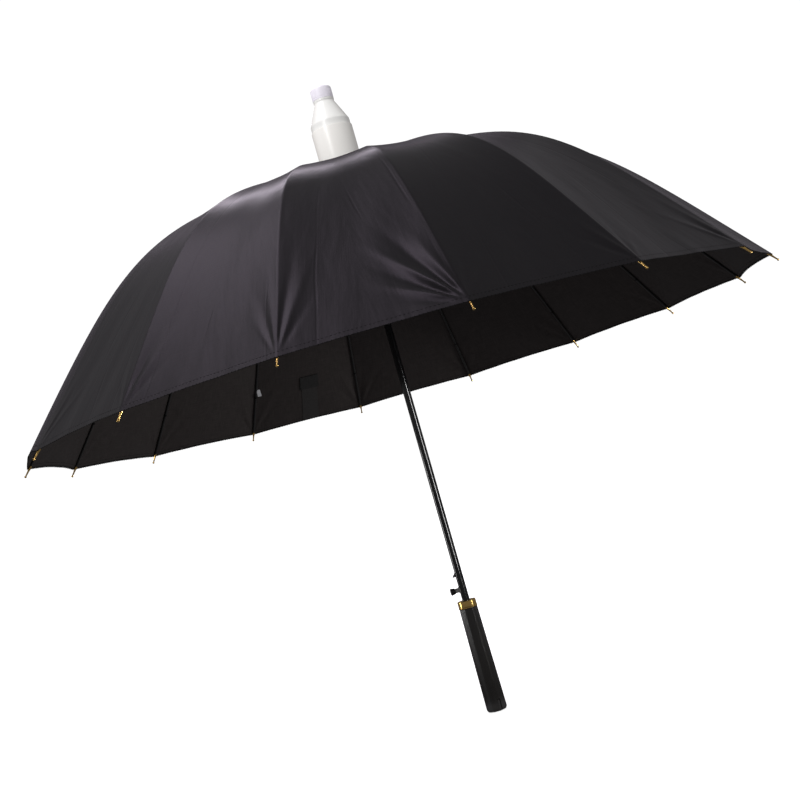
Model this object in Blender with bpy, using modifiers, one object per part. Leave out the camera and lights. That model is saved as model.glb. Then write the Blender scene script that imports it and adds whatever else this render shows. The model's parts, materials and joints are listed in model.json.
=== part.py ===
# Automatic straight umbrella with sixteen ribs, open, its drip cover drawn up over its top.
# Metres, +Z up the shaft, origin at the centre of the handle's foot.
# Rib 1 lies along +X, the others follow counter-clockwise, and the button is on the -Y side.

import math

import bmesh
import bpy
import numpy as np
from mathutils import Matrix, Vector

# Fits
SEAT_GAP = 0.0003
SLIDE_GAP = 0.0004
CUT_OVERRUN = 0.001
WELD_DISTANCE = 0.000005

# Shaft
SHAFT_RADIUS = 0.005
SHAFT_WALL = 0.0008
SHAFT_ABOVE_NECK_FOOT = 0.013
BEAD_RADIUS = 0.007
BEAD_BELOW_NECK_FOOT = 0.008
BEAD_HEIGHT = 0.0045

# Handle and its ring
HANDLE_LENGTH = 0.136
HANDLE_FOOT_WIDTH = 0.027
HANDLE_TOP_WIDTH = 0.024
HANDLE_SIDES = 8
HANDLE_EDGE_ROUND = 0.0014
HANDLE_FOOT_ROUND = 0.0030
SOCKET_FLOOR = 0.030
GROOVE_WIDTH = 0.0036
GROOVE_HEIGHT = 0.015
GROOVE_DEPTH = 0.0030
RING_RADIUS = 0.0126
RING_HEIGHT = 0.0117
RING_ROUND = 0.0010

# Button on its collar
BUTTON_ABOVE_RING = 0.015
BUTTON_TRAVEL = 0.0029
COLLAR_RADIUS = 0.0030
COLLAR_REACH = 0.0105
PIN_RADIUS = 0.0012
HEAD_LENGTH = 0.0060
HEAD_RADIUS = 0.0047
HEAD_NECK_RADIUS = 0.0038
HEAD_ROUND = 0.0008

# Crown
CROWN_HEIGHT = 0.741
CROWN_RADIUS = 0.013
CROWN_FOOT_DROP = 0.006
CROWN_ROOF = 0.0016
CROWN_HUB_RADIUS = 0.0075
CROWN_SLOT_FLOOR_RADIUS = 0.0085
HINGE_RADIUS = 0.0115
HINGE_WIRE_RADIUS = 0.0005
WASHER_RADIUS = 0.014
WASHER_THICKNESS = 0.0015
BLADE_SLOT_WIDTH = 0.0020

# Ribs, whose slope grows from root to tip along an S-shaped share of their length
RIBS = 16
CANOPY_RADIUS = 0.500
RIB_ROOT_SLOPE = math.radians(7.9)
RIB_TIP_SLOPE = math.radians(49.9)
RIB_BEND_POWER_SHARE = 2.88
RIB_BEND_EASE_SHARE = 0.654
RIB_RADIUS = 0.0016
RIB_TUBE_START = 0.008
RIB_BLADE_LENGTH = 0.014
BLADE_THICKNESS = 0.0014
BLADE_END_RADIUS = 0.0015
PIVOT_HOLE_RADIUS = 0.00085
LUG_DISTANCE = 0.268
LUG_DROP = 0.0045
LUG_THICKNESS = 0.0016
LUG_ROOT_HALF_LENGTH = 0.0040
LUG_END_RADIUS = 0.0017
TIP_LENGTH = 0.015
TIP_RADIUS = 0.00125
TIP_STEP = 0.0004
BALL_RADIUS = 0.00165

# Runner
RUNNER_DROP = 0.150
RUNNER_ABOVE_BUTTON = 0.067
RUNNER_PIVOT_RADIUS = 0.014
RUNNER_RING_RADIUS = 0.016
RUNNER_RING_HALF_HEIGHT = 0.004
RUNNER_SLOT_FLOOR_RADIUS = 0.012
RUNNER_HUB_RADIUS = 0.010
RUNNER_HUB_RISE = 0.009
RUNNER_SLEEVE_RADIUS = 0.0095
RUNNER_SLEEVE_DROP = 0.058
RUNNER_FLARE_RADIUS = 0.011
RUNNER_FLARE_HEIGHT = 0.003
RUNNER_CHAMFER = 0.0006
WINDOW_WIDTH = 0.005
WINDOW_HEIGHT = 0.0115
WINDOW_FOOT_DROP = 0.0505

# Stretchers
BAR_HEIGHT = 0.0030
BAR_WIDTH = 0.0026
FORK_WIDTH = 0.0038
FORK_SLOT_WIDTH = 0.0022
FORK_SLOT_DEPTH = 0.0058
FORK_LENGTH = 0.0105
FORK_END_RADIUS = 0.0020
FORK_PIN_RADIUS = 0.00055
STRETCHER_BLADE_LENGTH = 0.012
STRETCHER_BLADE_OVERLAP = 0.004

# Catch leaf inside the shaft
LEAF_WIDTH = 0.0024
LEAF_THICKNESS = 0.0006
LEAF_BELOW_TOOTH = 0.0755
LEAF_ABOVE_TOOTH = 0.0025
TOOTH_REACH = 0.009
TOOTH_HEIGHT = 0.007
TOOTH_LAND = 0.001
TOOTH_ABOVE_WINDOW_FOOT = 0.001
TOOTH_WINDOW_MARGIN = 0.0025

# Opening spring round the shaft
SPRING_RADIUS = 0.0072
SPRING_WIRE_RADIUS = 0.0007
SPRING_CURLS = 16
SPRING_POINTS_PER_CURL = 8

# Cloth
CLOTH_THICKNESS = 0.0006
CLOTH_HUB_GAP = 0.0006
CLOTH_BLEND_RADIUS = 0.030
CLOTH_WASHER_MARGIN = 0.0005
CORNER_SETBACK = 0.010
HEM_RISE = 0.007
HEM_BAND = 0.050

# Drip cover
COVER_OUTER_RADIUS = 0.0280
COVER_WALL = 0.0005
COVER_RUN_GAP = 0.0002
COVER_FLARE_STEP = 0.0005
COVER_FLARE_HEIGHT = 0.003
COVER_LIP_HEIGHT = 0.001
COVER_EDGE_RISE = 0.061
COVER_DRAW = 0.045
SHOULDER_ABOVE_EDGE = 0.006
CONE_HEIGHT = 0.029
NECK_RADIUS = 0.0128
NECK_INSIDE_CAP = 0.0145
WEB_THICKNESS = 0.0015
CAP_RADIUS = 0.0146
CAP_ABOVE_NECK_FOOT = 0.004
CAP_ROOF = 0.0022
CAP_ROUND = 0.0012

# Fineness
FINE_SEGMENTS = 28
ROUND_SEGMENTS = 24
SMALL_SEGMENTS = 16
HOLE_SEGMENTS = 6
EDGE_ROUND_SEGMENTS = 2
FOOT_ROUND_SEGMENTS = 4
ROUND_PROFILE_SHARE = 0.5
RIB_STEPS = 400
RIB_RUNS_TO_LUG = 4
RIB_RUNS_TO_TIP = 5
CLOTH_COLUMNS = 2

SMOOTH_ANGLE = math.radians(40)
BALL_ANGLES = tuple(math.radians(turn) for turn in (55, 90, 125))
BALL_END_ANGLE = math.radians(155)

RIB_ANGLE = 2 * math.pi / RIBS
HALF_GORE = RIB_ANGLE / 2
SHAFT_BORE_RADIUS = SHAFT_RADIUS - SHAFT_WALL
RING_FOOT = HANDLE_LENGTH + SEAT_GAP
RING_TOP = RING_FOOT + RING_HEIGHT
BUTTON_HEIGHT = RING_TOP + BUTTON_ABOVE_RING
RUNNER_HEIGHT = CROWN_HEIGHT - RUNNER_DROP
RUNNER_CLOSED_HEIGHT = BUTTON_HEIGHT + RUNNER_ABOVE_BUTTON
RUNNER_TRAVEL = RUNNER_HEIGHT - RUNNER_CLOSED_HEIGHT
SLOT_ROOF_RISE = RIB_RADIUS + SEAT_GAP
CROWN_TOP_RISE = SLOT_ROOF_RISE + CROWN_ROOF
CLOTH_HUB_RISE = CROWN_TOP_RISE + SEAT_GAP
WASHER_FOOT_RISE = CLOTH_HUB_RISE + CLOTH_THICKNESS + SLIDE_GAP
LEAF_FACE = math.sqrt(SHAFT_BORE_RADIUS ** 2 - (LEAF_WIDTH / 2) ** 2) - SEAT_GAP
TOOTH_FOOT = RUNNER_CLOSED_HEIGHT - WINDOW_FOOT_DROP + TOOTH_ABOVE_WINDOW_FOOT
TOOTH_TOP = TOOTH_FOOT + TOOTH_HEIGHT
LEAF_FOOT = TOOTH_FOOT - LEAF_BELOW_TOOTH
COVER_EDGE_HEIGHT = CROWN_HEIGHT + COVER_EDGE_RISE
SHOULDER_HEIGHT = COVER_EDGE_HEIGHT + SHOULDER_ABOVE_EDGE
NECK_FOOT = SHOULDER_HEIGHT + CONE_HEIGHT
CAP_FOOT = NECK_FOOT + CAP_ABOVE_NECK_FOOT
NECK_TOP = CAP_FOOT + NECK_INSIDE_CAP
CAP_TOP = NECK_TOP + SEAT_GAP + CAP_ROOF
SHAFT_TOP = NECK_FOOT + SHAFT_ABOVE_NECK_FOOT
BEAD_FOOT = NECK_FOOT - BEAD_BELOW_NECK_FOOT


# Scene, materials and collections

def clear_scene():
    for item in list(bpy.data.objects):
        bpy.data.objects.remove(item, do_unlink=True)


def new_collection(name):
    collection = bpy.data.collections.new(name)
    bpy.context.scene.collection.children.link(collection)
    return collection


def new_material(name, colour, roughness, metallic=0.0):
    material = bpy.data.materials.new(name)
    material.use_nodes = True
    shader = material.node_tree.nodes["Principled BSDF"]
    shader.inputs["Base Color"].default_value = (*colour, 1.0)
    shader.inputs["Roughness"].default_value = roughness
    shader.inputs["Metallic"].default_value = metallic
    material.diffuse_color = (*colour, 1.0)
    return material


def place(item, location=(0, 0, 0), rotation=(0, 0, 0), parent=None):
    item.location = location
    item.rotation_euler = rotation
    item.parent = parent
    return item


def add_part(name, mesh, material, parent=None):
    item = bpy.data.objects.new(name, mesh)
    PARTS.objects.link(item)
    if not mesh.materials:
        mesh.materials.append(material)
    item.parent = parent
    return item


def add_pivot(name, location, rotation=(0, 0, 0), parent=None):
    pivot = bpy.data.objects.new(name, None)
    pivot.empty_display_size = HINGE_RADIUS
    PARTS.objects.link(pivot)
    return place(pivot, location, rotation, parent)


def add_cutter(name, mesh):
    cutter = bpy.data.objects.new(name, mesh)
    cutter.hide_render = True
    cutter.display_type = "WIRE"
    CUTTERS.objects.link(cutter)
    return cutter


# Modelling helpers

def mesh_from_bmesh(name, shape):
    mesh = bpy.data.meshes.new(name)
    shape.to_mesh(mesh)
    shape.free()
    return mesh


def add_box(shape, low, high, turn=0.0):
    low = Vector(low)
    high = Vector(high)
    size = high - low
    stretch = Matrix.Diagonal((*size, 1))
    matrix = Matrix.Rotation(turn, 4, "Z") @ Matrix.Translation((low + high) / 2) @ stretch
    bmesh.ops.create_cube(shape, size=1, matrix=matrix)


def box_mesh(name, low, high):
    shape = bmesh.new()
    add_box(shape, low, high)
    return mesh_from_bmesh(name, shape)


def cylinder_mesh(name, radius, foot, top, segments):
    shape = bmesh.new()
    matrix = Matrix.Translation((0, 0, (foot + top) / 2))
    bmesh.ops.create_cone(shape, cap_ends=True, segments=segments, radius1=radius, radius2=radius,
                          depth=top - foot, matrix=matrix)
    return mesh_from_bmesh(name, shape)


def profile_mesh(name, profile, closed):
    # A turned piece's half section: (radius, height) points, down the outer side first
    shape = bmesh.new()
    points = [shape.verts.new((radius, 0, height)) for radius, height in profile]
    pairs = list(zip(points, points[1:]))
    if closed:
        pairs.append((points[-1], points[0]))
    for pair in pairs:
        shape.edges.new(pair)
    return mesh_from_bmesh(name, shape)


def turn(item, segments):
    screw = item.modifiers.new("Turned", "SCREW")
    screw.axis = "Z"
    screw.steps = segments
    screw.render_steps = segments
    screw.use_smooth_shade = True
    screw.use_merge_vertices = True
    screw.merge_threshold = WELD_DISTANCE


def combine(item, other, operation):
    boolean = item.modifiers.new(operation.title() + " " + other.name, "BOOLEAN")
    boolean.operation = operation
    boolean.object = other
    boolean.solver = "EXACT"


def evaluated_mesh(item, name):
    # The item's modified mesh in its own space, its curve caps welded on
    bpy.context.view_layer.update()
    graph = bpy.context.evaluated_depsgraph_get()
    mesh = bpy.data.meshes.new_from_object(item.evaluated_get(graph), depsgraph=graph)
    mesh.name = name
    shape = bmesh.new()
    shape.from_mesh(mesh)
    bmesh.ops.remove_doubles(shape, verts=shape.verts, dist=WELD_DISTANCE)
    shape.to_mesh(mesh)
    shape.free()
    return mesh


def curve_mesh(name, curve):
    item = bpy.data.objects.new(name, curve)
    CUTTERS.objects.link(item)
    mesh = evaluated_mesh(item, name)
    bpy.data.objects.remove(item, do_unlink=True)
    bpy.data.curves.remove(curve)
    return mesh


def tube_mesh(name, points, radius, shares=None, sides=6):
    # A tube along the points; shares give each point's part of the radius
    curve = bpy.data.curves.new(name, "CURVE")
    curve.dimensions = "3D"
    curve.bevel_depth = radius
    curve.bevel_resolution = sides // 2 - 2
    curve.use_fill_caps = True
    spline = curve.splines.new("POLY")
    spline.points.add(len(points) - 1)
    for index, place_at in enumerate(points):
        spline.points[index].co = (*place_at, 1)
        spline.points[index].radius = shares[index] if shares else 1
    return curve_mesh(name, curve)


def plate_mesh(name, outlines, thickness):
    # A flat plate in the XZ plane, its thickness shared by both sides; inner outlines are holes
    curve = bpy.data.curves.new(name, "CURVE")
    curve.dimensions = "2D"
    curve.fill_mode = "BOTH"
    curve.extrude = thickness / 2
    for outline in outlines:
        spline = curve.splines.new("POLY")
        spline.points.add(len(outline) - 1)
        spline.use_cyclic_u = True
        for point, (along, up) in zip(spline.points, outline):
            point.co = (along, up, 0, 1)
    mesh = curve_mesh(name, curve)
    mesh.transform(Matrix.Rotation(math.pi / 2, 4, "X"))
    return mesh


def arc(centre, radius, start, end, count):
    # Points round a centre from one angle to the other, both ends included
    angles = [start + (end - start) * index / (count - 1) for index in range(count)]
    return [(centre[0] + radius * math.cos(a), centre[1] + radius * math.sin(a)) for a in angles]


def circle(centre, radius, count):
    return arc(centre, radius, 0, 2 * math.pi * (count - 1) / count, count)


def smooth(mesh, angle=SMOOTH_ANGLE):
    mesh.shade_smooth()
    mesh.set_sharp_from_angle(angle=angle)
    return mesh


def slot_ring_mesh(name, inner, outer, foot, top, width):
    # One box for each rib, standing round the shaft
    shape = bmesh.new()
    for index in range(RIBS):
        add_box(shape, (inner, -width / 2, foot), (outer, width / 2, top), index * RIB_ANGLE)
    return mesh_from_bmesh(name, shape)


# Shape of a rib in its own plane, from its hinge

def rib_curve():
    share = (np.arange(RIB_STEPS) + 0.5) / RIB_STEPS
    rising = share ** RIB_BEND_POWER_SHARE
    falling = RIB_BEND_EASE_SHARE * (1 - share) ** RIB_BEND_POWER_SHARE
    slope = RIB_ROOT_SLOPE + (RIB_TIP_SLOPE - RIB_ROOT_SLOPE) * rising / (rising + falling)
    length = (CANOPY_RADIUS - HINGE_RADIUS) / np.cos(slope).mean()
    step = length / RIB_STEPS
    out = np.concatenate([[0], np.cumsum(np.cos(slope))]) * step
    down = np.concatenate([[0], np.cumsum(np.sin(slope))]) * step
    return length, out, down, slope


RIB_LENGTH, RIB_OUT, RIB_DOWN, RIB_SLOPE = rib_curve()


def rib_slope(distance):
    places = (np.arange(RIB_STEPS) + 0.5) / RIB_STEPS * RIB_LENGTH
    return float(np.interp(distance, places, RIB_SLOPE))


def rib_point(distance, rise=0.0):
    # (out, up) from the hinge at a distance along the rib, moved square to it by the rise
    places = np.arange(RIB_STEPS + 1) / RIB_STEPS * RIB_LENGTH
    out = float(np.interp(distance, places, RIB_OUT))
    down = float(np.interp(distance, places, RIB_DOWN))
    slope = rib_slope(distance)
    return out + rise * math.sin(slope), -down + rise * math.cos(slope)


def rib_stations():
    # Distances that the tube and the cloth over it share, so that their straight runs lie alike,
    # with one of them at the lug
    start = CLOTH_BLEND_RADIUS - HINGE_RADIUS
    end = RIB_LENGTH - TIP_LENGTH
    inner = [start + (LUG_DISTANCE - start) * index / RIB_RUNS_TO_LUG for index in range(RIB_RUNS_TO_LUG)]
    run = (end - LUG_DISTANCE) / RIB_RUNS_TO_TIP
    outer = [LUG_DISTANCE + run * index for index in range(RIB_RUNS_TO_TIP + 1)]
    return inner + outer


# Shaft

def build_shaft():
    bead_top = BEAD_FOOT + BEAD_HEIGHT
    bead_slope = BEAD_RADIUS - SHAFT_RADIUS
    foot = SOCKET_FLOOR + SEAT_GAP
    roof = SHAFT_TOP - SHAFT_WALL
    profile = [
        (0, SHAFT_TOP),
        (SHAFT_BORE_RADIUS, SHAFT_TOP),
        (SHAFT_RADIUS, roof),
        (SHAFT_RADIUS, bead_top),
        (BEAD_RADIUS, bead_top),
        (BEAD_RADIUS, BEAD_FOOT + bead_slope),
        (SHAFT_RADIUS, BEAD_FOOT),
        (SHAFT_RADIUS, foot),
        (SHAFT_BORE_RADIUS, foot),
        (SHAFT_BORE_RADIUS, roof - SHAFT_WALL),
        (0, roof - SHAFT_WALL),
    ]
    shaft = add_part("shaft", profile_mesh("shaft", profile, closed=False), BLACK_PAINT)
    turn(shaft, ROUND_SEGMENTS)
    half_window = LEAF_WIDTH / 2 + SEAT_GAP
    window = add_cutter("shaft_tooth_window", box_mesh(
        "shaft_tooth_window",
        (-half_window, -SHAFT_RADIUS - CUT_OVERRUN, TOOTH_FOOT - TOOTH_WINDOW_MARGIN),
        (half_window, -SHAFT_BORE_RADIUS / 2, TOOTH_TOP + TOOTH_WINDOW_MARGIN)))
    combine(shaft, window, "DIFFERENCE")
    hole = add_cutter("shaft_pin_hole", cylinder_mesh(
        "shaft_pin_hole", PIN_RADIUS + SEAT_GAP, SHAFT_BORE_RADIUS / 2, SHAFT_RADIUS + CUT_OVERRUN,
        SMALL_SEGMENTS))
    place(hole, (0, 0, BUTTON_HEIGHT), (math.pi / 2, 0, 0))
    combine(shaft, hole, "DIFFERENCE")
    return shaft


# Handle

def handle_mesh():
    across_corners = 1 / math.cos(math.pi / HANDLE_SIDES)
    shape = bmesh.new()
    bmesh.ops.create_cone(
        shape, cap_ends=True, segments=HANDLE_SIDES,
        radius1=HANDLE_FOOT_WIDTH / 2 * across_corners, radius2=HANDLE_TOP_WIDTH / 2 * across_corners,
        depth=HANDLE_LENGTH, matrix=Matrix.Translation((0, 0, HANDLE_LENGTH / 2)))
    sides = [edge for edge in shape.edges if abs(edge.verts[0].co.z - edge.verts[1].co.z) > HANDLE_LENGTH / 2]
    bmesh.ops.bevel(shape, geom=sides, offset=HANDLE_EDGE_ROUND, segments=EDGE_ROUND_SEGMENTS,
                     profile=ROUND_PROFILE_SHARE, affect="EDGES")
    foot = [edge for edge in shape.edges if max(v.co.z for v in edge.verts) < HANDLE_EDGE_ROUND]
    bmesh.ops.bevel(shape, geom=foot, offset=HANDLE_FOOT_ROUND, segments=FOOT_ROUND_SEGMENTS,
                     profile=ROUND_PROFILE_SHARE, affect="EDGES")
    return mesh_from_bmesh("handle", shape)


def build_handle():
    handle = add_part("handle", smooth(handle_mesh()), BLACK_GLOSS)
    socket = add_cutter("handle_socket", cylinder_mesh(
        "handle_socket", SHAFT_RADIUS + SEAT_GAP, SOCKET_FLOOR, HANDLE_LENGTH + CUT_OVERRUN, ROUND_SEGMENTS))
    combine(handle, socket, "DIFFERENCE")
    # The strap groove lies on the edge along +X and opens at the foot
    half = GROOVE_WIDTH / 2
    corner_radius = HANDLE_FOOT_WIDTH / 2 / math.cos(math.pi / HANDLE_SIDES)
    outline = [(-half, -CUT_OVERRUN), (half, -CUT_OVERRUN)]
    outline += arc((0, GROOVE_HEIGHT - half), half, 0, math.pi, HOLE_SEGMENTS)
    groove = add_cutter("handle_strap_groove", plate_mesh("handle_strap_groove", [outline], 2 * GROOVE_DEPTH))
    place(groove, (corner_radius, 0, 0), (0, 0, math.pi / 2))
    combine(handle, groove, "DIFFERENCE")
    return handle


def build_handle_ring():
    bore = SHAFT_RADIUS + SEAT_GAP
    profile = [
        (bore, RING_TOP),
        (RING_RADIUS - RING_ROUND, RING_TOP),
        (RING_RADIUS, RING_TOP - RING_ROUND),
        (RING_RADIUS, RING_FOOT + RING_ROUND),
        (RING_RADIUS - RING_ROUND, RING_FOOT),
        (bore, RING_FOOT),
    ]
    ring = add_part("handle_ring", profile_mesh("handle_ring", profile, closed=True), GOLD)
    turn(ring, ROUND_SEGMENTS)
    return ring


# Button and catch, on the -Y side of the shaft

def build_button_collar():
    bore = PIN_RADIUS + SEAT_GAP
    inner = SHAFT_BORE_RADIUS
    profile = [(COLLAR_RADIUS, COLLAR_REACH), (COLLAR_RADIUS, inner), (bore, inner), (bore, COLLAR_REACH)]
    collar = add_part("button_collar", profile_mesh("button_collar", profile, closed=True), GREY_PLASTIC)
    turn(collar, SMALL_SEGMENTS)
    place(collar, (0, 0, BUTTON_HEIGHT), (math.pi / 2, 0, 0))
    saddle = add_cutter("collar_saddle", cylinder_mesh(
        "collar_saddle", SHAFT_RADIUS + SEAT_GAP, BUTTON_HEIGHT - HEAD_RADIUS, BUTTON_HEIGHT + HEAD_RADIUS,
        ROUND_SEGMENTS))
    combine(collar, saddle, "DIFFERENCE")
    return collar


def build_release_button():
    inner = COLLAR_REACH + SEAT_GAP
    outer = inner + HEAD_LENGTH
    bore = COLLAR_RADIUS + SEAT_GAP
    bore_floor = inner + BUTTON_TRAVEL + SEAT_GAP
    profile = [
        (0, outer),
        (HEAD_RADIUS - HEAD_ROUND, outer),
        (HEAD_RADIUS, outer - HEAD_ROUND),
        (HEAD_RADIUS, outer - 2 * HEAD_ROUND),
        (HEAD_NECK_RADIUS, inner),
        (bore, inner),
        (bore, bore_floor),
        (PIN_RADIUS, bore_floor),
        (PIN_RADIUS, LEAF_FACE + SEAT_GAP),
        (0, LEAF_FACE + SEAT_GAP),
    ]
    button = add_part("release_button", profile_mesh("release_button", profile, closed=False), BLACK_GLOSS)
    turn(button, SMALL_SEGMENTS)
    return place(button, (0, 0, BUTTON_HEIGHT), (math.pi / 2, 0, 0))


def build_catch_leaf():
    # Its outline is drawn with the distance from the shaft's axis as the first number
    back = LEAF_FACE - LEAF_THICKNESS
    outline = [
        (back, 0),
        (LEAF_FACE, 0),
        (LEAF_FACE, TOOTH_FOOT - LEAF_FOOT),
        (TOOTH_REACH, TOOTH_FOOT - LEAF_FOOT),
        (TOOTH_REACH, TOOTH_FOOT + TOOTH_LAND - LEAF_FOOT),
        (LEAF_FACE, TOOTH_TOP - LEAF_FOOT),
        (LEAF_FACE, TOOTH_TOP + LEAF_ABOVE_TOOTH - LEAF_FOOT),
        (back, TOOTH_TOP + LEAF_ABOVE_TOOTH - LEAF_FOOT),
    ]
    leaf = add_part("catch_leaf", plate_mesh("catch_leaf", [outline], LEAF_WIDTH), GREY_STEEL)
    return place(leaf, (0, 0, LEAF_FOOT), (0, 0, -math.pi / 2))


# Crown, runner and spring

def build_crown():
    bore = SHAFT_RADIUS + SEAT_GAP
    profile = [
        (bore, WASHER_FOOT_RISE + WASHER_THICKNESS),
        (WASHER_RADIUS, WASHER_FOOT_RISE + WASHER_THICKNESS),
        (WASHER_RADIUS, WASHER_FOOT_RISE),
        (CROWN_HUB_RADIUS, WASHER_FOOT_RISE),
        (CROWN_HUB_RADIUS, CROWN_TOP_RISE),
        (CROWN_RADIUS, CROWN_TOP_RISE),
        (CROWN_RADIUS, -CROWN_FOOT_DROP),
        (bore, -CROWN_FOOT_DROP),
    ]
    crown = add_part("crown", profile_mesh("crown", profile, closed=True), BLACK_PLASTIC)
    turn(crown, ROUND_SEGMENTS)
    place(crown, (0, 0, CROWN_HEIGHT))
    slots = add_cutter("crown_slots", slot_ring_mesh(
        "crown_slots", CROWN_SLOT_FLOOR_RADIUS, CROWN_RADIUS + CUT_OVERRUN,
        -CROWN_FOOT_DROP - CUT_OVERRUN, SLOT_ROOF_RISE, BLADE_SLOT_WIDTH))
    place(slots, (0, 0, CROWN_HEIGHT))
    combine(crown, slots, "DIFFERENCE")
    wire = add_cutter("crown_hinge_wire", profile_mesh(
        "crown_hinge_wire", circle((HINGE_RADIUS, 0), HINGE_WIRE_RADIUS, 6)[::-1], closed=True))
    turn(wire, 2 * RIBS)
    place(wire, (0, 0, CROWN_HEIGHT))
    combine(crown, wire, "UNION")
    return crown


def build_runner():
    bore = SHAFT_RADIUS + SLIDE_GAP
    ring = RUNNER_RING_HALF_HEIGHT
    foot = -RUNNER_SLEEVE_DROP
    profile = [
        (bore, RUNNER_HUB_RISE),
        (RUNNER_HUB_RADIUS, RUNNER_HUB_RISE),
        (RUNNER_HUB_RADIUS, ring),
        (RUNNER_RING_RADIUS - RUNNER_CHAMFER, ring),
        (RUNNER_RING_RADIUS, ring - RUNNER_CHAMFER),
        (RUNNER_RING_RADIUS, -ring + RUNNER_CHAMFER),
        (RUNNER_RING_RADIUS - RUNNER_CHAMFER, -ring),
        (RUNNER_SLEEVE_RADIUS, -ring),
        (RUNNER_SLEEVE_RADIUS, foot + RUNNER_FLARE_HEIGHT + RUNNER_CHAMFER),
        (RUNNER_FLARE_RADIUS, foot + RUNNER_FLARE_HEIGHT),
        (RUNNER_FLARE_RADIUS, foot),
        (bore, foot),
    ]
    runner = add_part("runner", profile_mesh("runner", profile, closed=True), BLACK_PLASTIC)
    turn(runner, ROUND_SEGMENTS)
    place(runner, (0, 0, RUNNER_HEIGHT))
    slots = add_cutter("runner_slots", slot_ring_mesh(
        "runner_slots", RUNNER_SLOT_FLOOR_RADIUS, RUNNER_RING_RADIUS + CUT_OVERRUN,
        -ring - CUT_OVERRUN, ring + CUT_OVERRUN, BLADE_SLOT_WIDTH))
    place(slots, (0, 0, RUNNER_HEIGHT))
    combine(runner, slots, "DIFFERENCE")
    window = add_cutter("runner_window", box_mesh(
        "runner_window",
        (-WINDOW_WIDTH / 2, -RUNNER_FLARE_RADIUS - CUT_OVERRUN, -WINDOW_FOOT_DROP),
        (WINDOW_WIDTH / 2, 0, -WINDOW_FOOT_DROP + WINDOW_HEIGHT)))
    place(window, (0, 0, RUNNER_HEIGHT))
    combine(runner, window, "DIFFERENCE")
    return runner


def spring_points():
    # Each end stands straight for one wire diameter on what it meets
    foot = RUNNER_HEIGHT + RUNNER_HUB_RISE + SEAT_GAP
    top = CROWN_HEIGHT - CROWN_FOOT_DROP - SEAT_GAP
    lead = 2 * SPRING_WIRE_RADIUS
    count = SPRING_CURLS * SPRING_POINTS_PER_CURL
    points = [(SPRING_RADIUS, 0, foot)]
    for index in range(count + 1):
        angle = 2 * math.pi * index / SPRING_POINTS_PER_CURL
        height = foot + lead + (top - foot - 2 * lead) * index / count
        points.append((SPRING_RADIUS * math.cos(angle), SPRING_RADIUS * math.sin(angle), height))
    points.append((SPRING_RADIUS, 0, top))
    return points


def least_gap(points, wire_radius, apart):
    # The least distance between points that lie at least so many steps apart, less the wire
    places = np.array(points)
    gaps = [
        np.linalg.norm(places[index + apart:] - places[index], axis=1).min()
        for index in range(len(places) - apart)
    ]
    return min(gaps) - 2 * wire_radius


def build_spring():
    points = spring_points()
    mesh = smooth(tube_mesh("opening_spring", points, SPRING_WIRE_RADIUS))
    gap = least_gap(points, SPRING_WIRE_RADIUS, SPRING_POINTS_PER_CURL // 2)
    print(f"opening spring: least gap to itself {gap * 1000:.2f} mm")
    return add_part("opening_spring", mesh, SPRING_STEEL)


# Ribs

def rib_tube_mesh():
    # Tube, then the gold tip with its ball, as one line of points with their radii
    ball_start = RIB_LENGTH - 2 * BALL_RADIUS
    stations = [(distance, RIB_RADIUS) for distance in [RIB_TUBE_START] + rib_stations()]
    stations += [(RIB_LENGTH - TIP_LENGTH + TIP_STEP, TIP_RADIUS), (ball_start, TIP_RADIUS)]
    stations += [
        (RIB_LENGTH - BALL_RADIUS * (1 + math.cos(a)), BALL_RADIUS * math.sin(a))
        for a in BALL_ANGLES
    ]
    stations.append((RIB_LENGTH, BALL_RADIUS * math.sin(BALL_END_ANGLE)))
    points = []
    for distance, _ in stations:
        out, up = rib_point(distance)
        points.append((out, 0, up))
    return tube_mesh("rib_tube", points, RIB_RADIUS, [radius / RIB_RADIUS for _, radius in stations])


def rib_blade_mesh():
    direction = -RIB_ROOT_SLOPE
    end = BLADE_END_RADIUS
    outline = arc((0, 0), end, direction + math.pi / 2, direction + 3 * math.pi / 2, HOLE_SEGMENTS)
    for side in (-1, 1):
        out, up = rib_point(RIB_BLADE_LENGTH, side * end)
        outline.append((out, up))
    hole = circle((0, 0), PIVOT_HOLE_RADIUS, HOLE_SEGMENTS)
    return plate_mesh("rib_blade", [outline, hole], BLADE_THICKNESS)


def rib_lug_mesh():
    pivot = rib_point(LUG_DISTANCE, -LUG_DROP)
    inward = -rib_slope(LUG_DISTANCE) - math.pi / 2
    outline = arc(pivot, LUG_END_RADIUS, inward - math.pi / 2, inward + math.pi / 2, HOLE_SEGMENTS)
    outline.append(rib_point(LUG_DISTANCE + LUG_ROOT_HALF_LENGTH, -RIB_RADIUS / 2))
    outline.append(rib_point(LUG_DISTANCE - LUG_ROOT_HALF_LENGTH, -RIB_RADIUS / 2))
    hole = circle(pivot, PIVOT_HOLE_RADIUS, HOLE_SEGMENTS)
    return plate_mesh("rib_lug", [outline, hole], LUG_THICKNESS)


def joined_mesh(name, pieces):
    # Meshes made one body: each piece is (mesh, operation), and the first one carries the others
    base = add_cutter(name, pieces[0][0])
    others = []
    for index, (mesh, operation) in enumerate(pieces[1:]):
        other = add_cutter(f"{name}_{index}", mesh)
        combine(base, other, operation)
        others.append(other)
    mesh = evaluated_mesh(base, name)
    for item in [base] + others:
        bpy.data.objects.remove(item, do_unlink=True)
    return smooth(mesh)


def rib_mesh():
    added = [(rib_tube_mesh(), None), (rib_blade_mesh(), "UNION"), (rib_lug_mesh(), "UNION")]
    return joined_mesh("rib", added)


# Stretchers, drawn along +X from the fork's pin to the runner's pivot

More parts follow.
